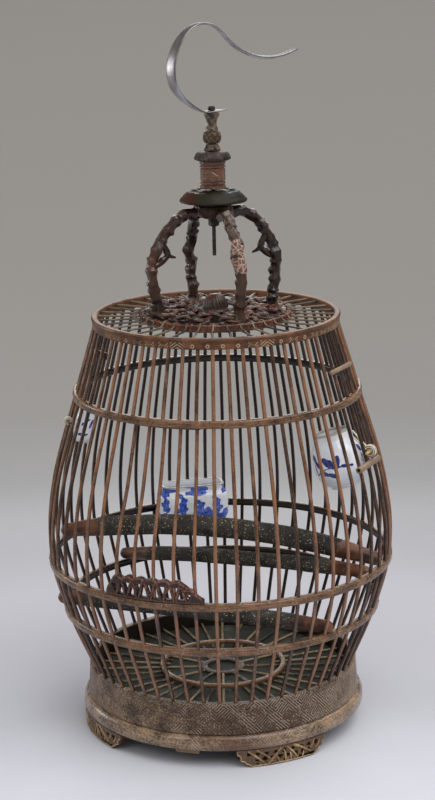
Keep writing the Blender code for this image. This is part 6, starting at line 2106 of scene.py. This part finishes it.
@dataclass
class Perches:
    """Three branch perches, resting on the lower two hoops."""

    shop: Workshop
    wall: CageWall
    points: int = 120
    sides: int = 26
    crook: float = 0.0007
    crook_seed: int = 1
    butt_gap: float = 0.0008

    def build_perch(self, perch: Perch) -> None:
        """One perch, gently crooked and thinner at its ends.

        Args:
            perch: Where it lies and how thick it is.
        """
        share = np.linspace(0, 1, self.points)
        line = []
        for t in share:
            point = perch.start.lerp(perch.end, t)
            away = noise.noise_vector(Vector((t * 4.0, perch.seed, 0.0))) * self.crook * math.sin(math.pi * t)
            line.append(Vector((point.x, point.y, point.z + perch.bow * 4 * t * (1 - t))) + away)
        rise = np.sin(np.minimum(1.0, np.minimum(share, 1 - share) / 0.22) * math.pi / 2)
        radii = perch.tip + (perch.middle - perch.tip) * rise
        lumps = np.array([1 + 0.04 * noise.noise(Vector((t * 9.0, perch.seed * 3.1, 1.0))) for t in share])

        def swell(along: Array, angle: Array) -> Array:
            """Shallow lumps round the branch."""
            return 0.018 * np.sin(2 * angle + along * 60) + 0.012 * np.sin(5 * angle - along * 170)

        branch = Shell()
        branch.rod(line, radii * lumps, self.sides, swell=swell)
        length = sum((second - first).length for first, second in zip(line, line[1:]))
        grit = GritFinish(f"grit_{perch.name}", length * 0.13, length * 0.86)
        self.shop.finishes.recipes[grit.name] = grit
        self.shop.piece(perch.name, branch, grit.name, "perch_branch", replaces=[perch.node])

    def build(self) -> None:
        """Build the three perches where the CAD has them, with the same crooks each run."""
        noise.seed_set(self.crook_seed)
        wall = self.wall
        (low_circle, low_z), (circle, z) = wall.route[wall.lower], wall.route[wall.middle]
        half = wall.hoop_size / 2
        butt, inner = circle - half - self.butt_gap, low_circle + half
        top, low_top = z + half + BAR_CLEARANCE, low_z + half + BAR_CLEARANCE
        ends = (
            (polar(circle, wall.gap(38), top + 0.0052), polar(butt, wall.gap(11), z)),
            (polar(inner, wall.gap(33), low_top + 0.0046), polar(butt, wall.gap(9), z)),
            (
                polar(low_circle + 0.0075, wall.gap(-13), low_top + 0.0044),
                polar(inner, wall.gap(6), low_top + 0.0044),
            ),
        )
        for perch in (
            Perch("thick_perch", "perch_upper", *ends[0], bow=0.0170, middle=0.0089, tip=0.0056, seed=3),
            Perch("crossing_perch", "perch_middle", *ends[1], bow=0.0045, middle=0.0066, tip=0.0048, seed=8),
            Perch("low_perch", "perch_lower", *ends[2], bow=0.0018, middle=0.0072, tip=0.0052, seed=5),
        ):
            self.build_perch(perch)


@dataclass(frozen=True)
class Stroke:
    """One painted leaf or line: two ends and its half width, in millimetres on the unrolled pot."""

    start: Pair
    end: Pair
    half_width: float

    def cover(self, u: Array, v: Array) -> Array:
        """How much of each place the stroke covers.

        Args:
            u: Length round the pot, in millimetres.
            v: Height on the pot, in millimetres.

        Returns:
            1 inside the stroke and 0 outside it.
        """
        ax, ay = self.start
        dx, dy = self.end[0] - ax, self.end[1] - ay
        t = (((u - ax) * dx + (v - ay) * dy) / max(dx * dx + dy * dy, 1e-9)).clip(0, 1)
        away = np.hypot(u - ax - t * dx, v - ay - t * dy)
        width = self.half_width * (0.25 + 0.75 * np.sqrt((4 * t * (1 - t)).clip(0, 1)))
        return ((width - away) / 0.35 + 0.5).clip(0, 1)


@dataclass(frozen=True)
class Pot:
    """One turned pot: its sizes, its (height, radius) shares from the foot up, and its painting."""

    name: str
    node: str
    radius: float
    height: float
    standoff: float
    steps: int
    shares: Route
    strokes: tuple[Stroke, ...]
    wall: float = 0.0015
    lug_share: float = 0.52


JAR = Pot(
    "painted_jar", "pot_right", radius=0.0220, height=0.0480, standoff=0.0024, steps=320,
    shares=(
        (0.0, 0.55), (0.03, 0.60), (0.10, 0.76), (0.22, 0.91), (0.37, 0.995), (0.50, 1.0), (0.64, 0.965),
        (0.76, 0.87), (0.84, 0.76), (0.88, 0.715), (0.92, 0.70), (1.0, 0.69),
    ),
    strokes=(
        Stroke((-27, 33), (-22, 27), 2.4), Stroke((-23, 28), (-19, 22), 2.0),
        Stroke((-25, 26), (-24, 17), 0.9), Stroke((-14, 30), (-8, 22), 2.8), Stroke((-9, 28), (-5, 20), 2.6),
        Stroke((0, 30), (-4, 19), 2.7), Stroke((-20, 19), (-11, 15), 2.1), Stroke((-12, 16), (-3, 12), 2.2),
        Stroke((-26, 15), (-12, 21), 0.6), Stroke((-12, 21), (8, 20), 0.6), Stroke((1, 21), (6, 20), 1.5),
        Stroke((7, 20), (12, 19), 1.1),
    ),
)
CUP = Pot(
    "painted_cup", "pot_left", radius=0.0093, height=0.0296, standoff=0.0009, steps=160,
    shares=(
        (0.0, 0.62), (0.05, 0.74), (0.16, 0.88), (0.30, 0.96), (0.45, 1.0), (0.66, 0.985), (0.80, 0.94),
        (0.92, 0.90), (1.0, 0.88),
    ),
    strokes=(
        Stroke((-5, 7), (1, 8), 1.3), Stroke((-1, 6), (4, 9), 1.0), Stroke((-3, 15), (-2, 18), 0.8),
        Stroke((4, 14), (6, 22), 1.1), Stroke((1, 20), (3, 22), 0.8),
    ),
)


def line_across(frame: Matrix, centre: Triple, length: float, count: int) -> list[Vector]:
    """Straight line along the hoop.

    Args:
        frame: Frame on the wall.
        centre: The line's middle in that frame.
        length: Its length.
        count: How many points it has.

    Returns:
        Its points.
    """
    start, end = (frame @ (Vector(centre) + Vector((0, length / 2 * side, 0))) for side in (-1, 1))
    return [start.lerp(end, t) for t in np.linspace(0, 1, count)]


@dataclass
class FeedingPots:
    """Three porcelain pots, their bone discs, pegs and stay."""

    shop: Workshop
    wall: CageWall
    jar_gap: float = 10
    jar_z: float = 0.2520
    cup_gap: float = -12
    cup_z: float = 0.2774
    eye: float = SOLID_BAR + BAR_CLEARANCE + 0.0016
    disc_rings: Route = (
        (0.40, 1.0), (0.48, 0.80), (0.56, 0.80), (0.62, 1.0), (0.74, 1.0), (0.80, 0.84), (0.86, 0.84),
        (0.91, 0.96), (0.97, 0.86), (1.0, 0.60),
    )
    stay_gap: float = 9.2
    trough_bar: int = 29
    trough_z: float = 0.1433
    trough_back: float = 0.1414
    trough_size: Triple = (0.0320, 0.0660, 0.0342)
    trough_wall: float = 0.0018
    trough_corner: float = 0.0110
    trough_levels: Route = (
        (0.0, 0.0040), (0.03, 0.0024), (0.10, 0.0009), (0.25, 0.0001), (0.50, 0.0), (0.64, 0.0004),
        (0.74, 0.0014), (0.81, 0.0030), (0.85, 0.0040), (0.90, 0.0042), (1.0, 0.0040),
    )
    trough_lug_share: float = 0.78

    @staticmethod
    def facing(frame: Matrix) -> float:
        """Direction of the cage's front in a frame on the wall, in degrees."""
        front = frame.to_3x3().inverted() @ Vector((0, -1, 0))
        return math.degrees(math.atan2(front.y, front.x))

    def round_pot(self, pot: Pot, frame: Matrix) -> None:
        """One turned pot in its leaning frame, painted round its body.

        Args:
            pot: Its sizes and its painting.
            frame: Frame on the wall at the pot's lug.
        """
        radius, height, wall = pot.radius, pot.height, pot.wall
        place = frame @ Matrix.Translation((-(SOLID_BAR + pot.standoff + radius), 0, -height * pot.lug_share))
        outer = [(radius * wide, height * level) for level, wide in smooth_line(pot.shares, 0.016)]
        inner = [(max(wide - wall, 0.0005), max(level, 0.003)) for wide, level in reversed(outer)]
        sole, mouth = outer[0][0], outer[-1][0]
        foot = [(0.0, 0.0010), (sole - 0.0026, 0.0010), (sole - 0.0022, 0.0)]
        lip = [(mouth - 0.0002, height), (mouth - wall / 2, height + 0.0004), (mouth - wall + 0.0002, height)]
        profile = np.array([*foot, *outer, *lip, *inner, (0.0, 0.003)])
        angles = np.linspace(0, math.tau, pot.steps, endpoint=False)[:, None]
        radii, heights = profile[:, 0][None, :], np.tile(profile[:, 1][None, :], (pot.steps, 1))
        points = moved(np.stack([radii * np.cos(angles), radii * np.sin(angles), heights], axis=-1), place)
        around = ((angles - math.radians(self.facing(frame)) + math.pi) % math.tau - math.pi) * radius * MM
        lap = math.tau * radius * MM
        ink = np.zeros(heights.shape)
        for shift in (0.0, lap * 0.36, -lap * 0.36, lap * 0.5, -lap * 0.5):
            for stroke in pot.strokes:
                ink = np.maximum(ink, stroke.cover(around - shift, heights * MM))
        order = np.arange(len(profile))
        ink = ink * ((order >= len(foot)) & (order < len(foot) + len(outer)))
        bare = (heights > height * 0.965) | (heights < 0.0004)
        runs = paired(np.linspace(0, lap / MM, pot.steps + 1)[:, None], profile[:, 1][None, :])
        shell = Shell()
        shell.grid(points, runs, (True, False), tone=ink, shade_and_bare=bare)
        self.shop.piece(pot.name, shell, "porcelain", "porcelain", replaces=[pot.node])

    def grooved_disc(self, name: str, frame: Matrix, radius: float, thickness: float) -> None:
        """Bone disc turned with rings, its axis along the hoop.

        Args:
            name: Its name.
            frame: Frame on the wall at the lug.
            radius: Its radius.
            thickness: Its thickness.
        """
        half = thickness / 2
        side = [(radius * wide, half * level) for wide, level in self.disc_rings]
        groove = [(radius * 0.93, half * 0.30), (radius * 0.93, -half * 0.30)]
        rim = [(radius, half * 0.42), *groove, (radius, -half * 0.42)]
        profile = [*side, *rim, *[(wide, -level) for wide, level in reversed(side)]]
        # Painted shade in the recessed rings and in the rim's groove.
        hollows = [1.0 if level in (0.80, 0.84) else 0.0 for _, level in self.disc_rings]
        shade_and_bare = np.array([hollows + [0.0, 1.0, 1.0, 0.0] + hollows[::-1]])
        place = frame @ Matrix.Translation((self.eye, 0, 0)) @ spun(90.0, "X")
        shell = Shell()
        shell.turn(profile, 48, place=place, shade_and_bare=lambda angle, share: shade_and_bare)
        self.shop.piece(name, shell, "bone", "porcelain")

    def pin(
        self, name: str, node: str, frame: Matrix, centre: Triple, size: Pair, looks: tuple[str, str],
        body: str,
    ) -> None:
        """A straight pin along the hoop, slightly thinner at one end.

        Args:
            name: Its name.
            node: CAD node that it stands for.
            frame: Frame on the wall.
            centre: Its middle in that frame.
            size: Its length and its radius.
            looks: Name of its finish, and material slot of the record.
            body: CAD body that it rides on.
        """
        length, radius = size
        line = line_across(frame, centre, length, 16)
        girths = np.linspace(radius, radius * 0.86, 16)
        shell = Shell()
        shell.rod(line, girths, 12, tone=0.6, swell=lambda along, angle: 0.02 * np.sin(along * 600))
        self.shop.piece(name, shell, *looks, body, [node])

    def lug(self, name: str, frame: Matrix, start: float, end: float) -> None:
        """Porcelain lug that reaches outwards from a pot.

        Args:
            name: Its name.
            frame: Frame on the wall at the lug.
            start: Its inner end, as a distance from the bars' line.
            end: Its outer end.
        """
        shell = Shell()
        shell.rod([frame @ Vector((x, 0, 0)) for x in np.linspace(start, end, 8)], 0.0017, 12, tone=0.0)
        self.shop.piece(name, shell, "porcelain", "porcelain")

    def build_jar(self) -> None:
        """The large pot on the right, with its disc, pin, straps and stay."""
        frame = self.wall.frame(self.wall.gap(self.jar_gap), self.jar_z)
        self.round_pot(JAR, frame)
        self.grooved_disc("jar_disc", frame, 0.0055, 0.0044)
        looks = ("peg_bamboo", "pale_bamboo")
        self.pin(
            "tan_peg", "pot_right_pin", frame, (self.eye, 0.0, 0.0), (0.0220, 0.0015), looks, "pin_right",
        )
        straps = Shell()
        for side in (-1, 1):
            for level in (0.0195, -0.0085):
                corners = [
                    (-0.0085, 0.0040 * side, level), (-0.0045, 0.0036 * side, level * 0.62),
                    (-0.0008, 0.0030 * side, level * 0.30), (0.0012, 0.0027 * side, level * 0.12),
                ]
                straps.rod(
                    [frame @ Vector(point) for point in smooth_line(corners, 0.0008)], 0.0007, 8, tone=0.0,
                )
        self.shop.piece("jar_straps", straps, "bone", "porcelain")
        self.lug("jar_lug", frame, -0.0068, -0.0010)
        self.build_stay()

    def build_stay(self) -> None:
        """Hollow bamboo stay under the jar's disc."""
        frame = self.wall.frame(self.wall.gap(self.stay_gap), self.jar_z)
        radius, bore, half = 0.0027, 0.0016, 0.0215
        outline = [
            (bore, half), (radius - 0.0003, half), (radius, half - 0.0004), (radius, 0.004),
            (radius + 0.0002, 0.0032), (radius, 0.0024), (radius, -half + 0.0004), (radius - 0.0003, -half),
            (bore, -half),
        ]
        under = Matrix.Translation(
            (SOLID_BAR + BAR_CLEARANCE + radius, 0, -(0.0055 + BAR_CLEARANCE + radius))
        )
        stay = Shell()
        stay.turn(outline, 32, place=frame @ under @ spun(90.0, "X"), shade_and_bare=lambda angle, share: share > 0.95)
        self.shop.piece("hollow_stay", stay, "stay_bamboo", "pale_bamboo", replaces=["pot_right_stay"])

    def build_cup(self) -> None:
        """The small cup on the left, with its disc and pin."""
        frame = self.wall.frame(self.wall.gap(self.cup_gap), self.cup_z)
        self.round_pot(CUP, frame)
        self.grooved_disc("cup_disc", frame, 0.0036, 0.0030)
        looks = ("leg_dark", "bamboo_bar")
        self.pin("dark_peg", "pot_left_pin", frame, (self.eye, 0.0, 0.0), (0.0200, 0.0014), looks, "pin_left")
        self.lug("cup_lug", frame, -0.0034, 0.0008)

    def trough_ring(self, inset: float, z: float) -> Array:
        """Oblong ring with round corners.

        Args:
            inset: How far inside the trough's widest outline.
            z: Its height.

        Returns:
            Its points, X being the depth of the trough.
        """
        depth, length, _ = self.trough_size
        corner = max(self.trough_corner - inset, 0.003)
        x, y = (depth - 2 * inset) / 2 - corner, (length - 2 * inset) / 2 - corner
        points = []
        for quarter, (x_side, y_side) in enumerate(((1, 1), (-1, 1), (-1, -1), (1, -1))):
            for step in range(13):
                angle = math.pi / 2 * (quarter + step / 12)
                points.append(
                    (x_side * x + corner * math.cos(angle), y_side * y + corner * math.sin(angle), z)
                )
        dense = []
        for first, second in zip(points, points[1:] + points[:1]):
            a, b = Vector(first), Vector(second)
            count = max(1, round((b - a).length / 0.0006))
            dense += [tuple(a.lerp(b, step / count)) for step in range(count)]
        return np.array(dense)

    def build_trough(self) -> None:
        """The oblong blue pot at the back, with its lugs and its pin."""
        depth, _, height = self.trough_size
        middle = self.trough_back - depth / 2
        place = spun(self.wall.azimuth(self.trough_bar)) @ Matrix.Translation((middle, 0, self.trough_z))
        levels = smooth_line(self.trough_levels, 0.02)
        outside = [(height * z, inset) for z, inset in levels]
        inside = [(max(z, 0.003), inset + self.trough_wall) for z, inset in reversed(outside)]
        rings = [*outside, (height, inside[0][1]), *inside]
        reference = self.trough_ring(0.0, 0.0)
        rows = []
        for z, inset in rings:
            ring = self.trough_ring(inset, z)
            share = np.linspace(0, len(ring), len(reference), endpoint=False)
            closed = np.vstack([ring, ring[:1]])
            rows.append(
                np.stack(
                    [np.interp(share, np.arange(len(closed)), closed[:, axis]) for axis in range(3)], axis=1,
                )
            )
        around = lengths_along(np.vstack([reference, reference[:1]]))
        heights = np.array([z for z, _ in rings])[:, None]
        outer = (np.arange(len(rings)) < len(outside))[:, None]
        bare = ((heights > height * 0.965) & outer) | (heights > height * 0.985)
        ink = self.hills_and_pines(around[None, :-1] * MM, heights * MM, around[-1] * MM) * outer * ~bare
        trough, lugs = Shell(), Shell()
        points = moved(np.array(rows), place)
        trough.grid(
            points, paired(around[None, :], heights), (False, True), True, ink,
            np.broadcast_to(bare, ink.shape),
        )
        self.shop.piece("blue_trough", trough, "porcelain_blue", "porcelain", replaces=["pot_back"])
        lug_z = height * self.trough_lug_share
        radius = self.wall.radius_at(self.trough_z + lug_z)
        eye = radius + self.eye - middle
        for side in (-1, 1):
            offset = side * radius * math.sin(math.pi / self.wall.bar_count)
            lugs.rod(
                [place @ Vector((x, offset, lug_z)) for x in np.linspace(0.0140, eye - 0.0022, 8)], 0.0015,
                12, tone=0.0,
            )
            knob = [place @ Vector((eye, offset + t, lug_z)) for t in (-0.0015, -0.0005, 0.0005, 0.0015)]
            lugs.rod(knob, 0.0026, 16, tone=0.0)
        self.shop.piece("trough_lugs", lugs, "porcelain", "porcelain")
        looks = ("red_bamboo", "bamboo_bar")
        self.pin("trough_peg", "pot_back_pin", place, (eye, 0.0, lug_z), (0.0260, 0.0015), looks, "pin_back")

    @staticmethod
    def hills_and_pines(u: Array, v: Array, lap: float) -> Array:
        """Blue hills and leaning pines against white.

        Args:
            u: Length round the trough, in millimetres.
            v: Height on it, in millimetres.
            lap: Its whole girth, in millimetres.

        Returns:
            Ink from 0 to 1.
        """
        turn = math.tau * u / lap
        crest = 10.5 + 3.2 * np.cos(turn * 7) + 1.8 * np.cos(turn * 13 + 1.1)
        ink = ((crest - v) / 0.4 + 0.5).clip(0, 1)
        mist = ((v - 25.6 - 0.8 * np.cos(turn * 9)) / 0.4 + 0.5).clip(0, 1)
        ink = np.maximum(ink, mist * (np.cos(turn * 5 + 0.6) > -0.2))
        chance = random.Random(17)
        trees = 11
        for tree in range(trees):
            away = (u - lap * (tree + 0.4) / trees + lap / 2) % lap - lap / 2
            lean = chance.uniform(-4.5, 4.5)
            top = chance.uniform(17, 25)
            ink = np.maximum(ink, Stroke((-lean / 2, 5), (lean, top), 3.1).cover(away, v))
            for branch in range(4):
                share = 0.4 + 0.2 * branch
                x, y = lean * (1.5 * share - 0.5), 5 + (top - 5) * share
                reach = chance.uniform(3.2, 5.6) * (-1) ** branch
                end = (x + reach, y + chance.uniform(0.5, 3.0))
                ink = np.maximum(ink, Stroke((x, y), end, 2.1).cover(away, v))
            for _ in range(2):
                x, y = chance.uniform(-5, 5), chance.uniform(4, 12)
                end = (x + 1.6, y + chance.uniform(-0.8, 0.8))
                ink = np.minimum(ink, 1 - Stroke((x - 1.6, y), end, 0.8).cover(away, v))
        return ink

    def build(self) -> None:
        """Build the three pots and what holds them."""
        self.build_jar()
        self.build_cup()
        self.build_trough()


@dataclass
class SparePeg:
    """Spare peg held across the bars on the right."""

    shop: Workshop
    wall: CageWall
    gap: float = 9
    z: float = 0.3245
    length: float = 0.0400
    radius: float = 0.0022

    def build(self) -> None:
        """Build the peg with its dark knob end."""
        frame = self.wall.frame(self.wall.gap(self.gap), self.z)
        line = line_across(frame, (SOLID_BAR + BAR_CLEARANCE + self.radius, 0, 0), self.length, 30)

        def swell(along: Array, angle: Array) -> Array:
            """Knob and neck of the peg."""
            return -0.28 * bell(along, 0.0062, 0.0012) - 0.08 + 0.08 * bell(along, 0.003, 0.002)

        shell = Shell()
        shell.rod(line, self.radius, 16, tone=0.7, swell=swell)
        self.shop.piece("knobbed_peg", shell, "stay_bamboo", "bamboo_bar", replaces=["spare_peg"])


@dataclass
class Studio:
    """Camera, floor, lamps and the light from all round."""

    focal_px: float = 2011.75
    frame_px: float = 800.0
    eye: Triple = (0.0, -1.6767, 0.7066)
    pitch_deg: float = 14.05
    roll: float = 0.0208
    ambient: float = 0.66
    backdrop: Colour = rgb(141, 137, 131)
    speck: Colour = rgb(180, 180, 184)
    # Centre and tones of the floor's painted light falloff: brighter near the front, darker beside and beyond
    # the cage.
    painted_falloff_centre: Triple = (0.0, -0.25, 0.0)
    floor_circles: tuple[float, ...] = (0.0, 0.3, 1.0, 4.0, 40.0)
    painted_falloff_tones: tuple[tuple[float, Colour], ...] = (
        (0.18, rgb(190, 191, 197)), (0.25, rgb(184, 185, 191)), (0.30, rgb(175, 175, 181)),
        (0.35, rgb(170, 170, 176)), (0.46, rgb(168, 167, 172)), (0.60, rgb(167, 166, 171)),
        (0.72, rgb(156, 155, 159)), (0.87, rgb(150, 150, 151)), (1.02, rgb(135, 134, 134)),
        (1.35, rgb(125, 123, 119)), (2.40, rgb(123, 120, 115)), (5.30, rgb(121, 118, 112)),
        (13.0, rgb(117, 113, 108)),
    )
    lamps: tuple[tuple[str, Lamp, Triple, float, float], ...] = (
        ("key", Lamp.SUN, (0.44, -0.42, 0.92), 1.65, 50.0), ("rim", Lamp.SUN, (0.45, 0.55, 0.9), 0.55, 30.0),
        ("strip", Lamp.AREA, (-0.9, -1.1, 0.9), 5.0, 0.9),
        ("glow", Lamp.AREA, (-0.91, 0.435, 0.16), 8.0, 0.8), ("far", Lamp.SUN, (0.02, 1.0, 0.14), 0.3, 24.0),
    )

    def build_camera(self) -> None:
        """Camera at the photograph's place and angle."""
        data = bpy.data.cameras.new("camera")
        data.sensor_width = 36.0
        data.lens = self.focal_px / self.frame_px * data.sensor_width
        data.clip_start, data.clip_end = 0.05, 200.0
        camera = add_object("camera", data)
        pitch = math.radians(self.pitch_deg)
        forward = Vector((0, math.cos(pitch), -math.sin(pitch)))
        up = Vector((self.roll, math.sin(pitch), math.cos(pitch))).normalized()
        right = forward.cross(up).normalized()
        turn = Matrix((right, right.cross(forward), -forward)).transposed().to_4x4()
        camera.matrix_world = Matrix.Translation(self.eye) @ turn
        bpy.context.scene.camera = camera

    @staticmethod
    def ramp(sheet: Sheet, value: Signal, stops: Sequence[tuple[float, Colour]]) -> Signal:
        """Colours that follow a value.

        Args:
            sheet: The nodes.
            value: The value, 0 to 1.
            stops: Places along it and the colours there.

        Returns:
            The colour.
        """
        made = sheet.add("ValToRGB", {0: value})
        elements = made.color_ramp.elements
        for number in (0, -1):
            elements[number].position, elements[number].color = stops[number][0], (*stops[number][1], 1)
        for place, tone in stops[1:-1]:
            elements.new(place).color = (*tone, 1)
        return Signal(sheet, made.outputs[0])

    def build_floor(self) -> None:
        """Pale floor, painted darker with distance from a point in front of the cage as a painted falloff of
        light and soft shade; it also catches the cage's own shadow.
        """
        sheet = Sheet(bpy.data.materials.new("studio_floor"))
        reach = sheet.math("LOGARITHM", sheet.distance(sheet.solid(), self.painted_falloff_centre), 10.0)
        first, span = 0.8, 2.2
        stops = [((math.log10(radius) + first) / span, tone) for radius, tone in self.painted_falloff_tones]
        shaded = self.ramp(sheet, (reach + first) / span, stops)
        share = sheet.spread(sheet.noise(sheet.solid(), 0.004, 3.0), 0.3, 0.7, 0.0, 0.05)
        shell = Shell()
        shell.turn([(radius, 0.0) for radius in self.floor_circles], 96, False)
        mesh = shell.mesh("studio_floor")
        if mesh.polygons[0].normal.z < 0:
            mesh.flip_normals()
        colour = sheet.mix(share, shaded, self.speck)
        mesh.materials.append(sheet.finish(Base_Color=colour, Roughness=0.9, Specular_IOR_Level=0.1))
        add_object("studio_floor", mesh)

    def add_lamp(self, name: str, kind: Lamp, direction: Triple, energy: float, size: float) -> None:
        """One lamp aimed at the cage.

        Args:
            name: Its name.
            kind: What it is.
            direction: Direction from the cage to the lamp.
            energy: Its strength.
            size: Angle of a sun, in degrees, or width of an area lamp.
        """
        data = bpy.data.lights.new(name, kind.value)
        data.energy = energy
        if kind is Lamp.SUN:
            data.angle = math.radians(size)
        else:
            data.shape = "DISK"
            data.size = size
        lamp = add_object(name, data)
        lamp.visible_camera = False
        way = Vector(direction).normalized()
        lamp.location = Vector((0, 0, 0.3)) + way * 2.4
        lamp.rotation_mode = "QUATERNION"
        lamp.rotation_quaternion = (-way).to_track_quat("-Z", "Y")

    def build_light(self) -> None:
        """Soft key from the right, rim, strip and glow lamps, and a world that is paler above than below."""
        for lamp in self.lamps:
            self.add_lamp(*lamp)
        world = bpy.data.worlds.new("studio")
        bpy.context.scene.world = world
        sheet = Sheet(world)
        sheet.tree.nodes.clear()
        way = sheet.out("TexCoord", None, "Generated")
        slant = sheet.out("VectorMath", {0: way, 1: (0.24, -0.12, 0.96)}, "Value", operation="DOT_PRODUCT")
        lift = sheet.out("MapRange", {"Value": slant, "From Min": -1.0, "From Max": 1.0})
        sky = self.ramp(sheet, lift, ((0.36, (0.07, 0.07, 0.075)), (0.90, (1.6, 1.6, 1.63))))
        soft = sheet.out("Background", {"Color": sky, "Strength": self.ambient})
        back = sheet.out("Background", {"Color": self.backdrop})
        path = sheet.add("LightPath")
        camera, glossy, through = (
            Signal(sheet, path.outputs[f"Is {ray} Ray"]) for ray in ("Camera", "Glossy", "Transmission")
        )
        seen = camera.most(glossy.most(through))
        sheet.add("OutputWorld", {"Surface": sheet.out("MixShader", {0: seen, 1: soft, 2: back})})

    def build(self) -> None:
        """Build the studio and set how colours are shown."""
        self.build_camera()
        self.build_floor()
        self.build_light()
        bpy.context.scene.view_settings.view_transform = "Standard"


def main() -> None:
    """Build every sub-assembly round the CAD frame."""
    logging.basicConfig(level=logging.INFO, format="%(message)s")
    for made in list(bpy.data.objects):
        bpy.data.objects.remove(made, do_unlink=True)
    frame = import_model()
    shop = Workshop(frame["nodes"])
    wall = CageWall(shop)
    Studio().build()
    for assembly in (
        wall, BaseStand(shop), TopDeck(shop), CrownLegs(shop), NeckStack(shop), SteelHook(shop),
        SlidingDoor(shop, wall), Perches(shop, wall), FeedingPots(shop, wall), SparePeg(shop, wall),
    ):
        assembly.build()
        LOG.info("built %s", type(assembly).__name__)


if __name__ == "__main__":
    main()
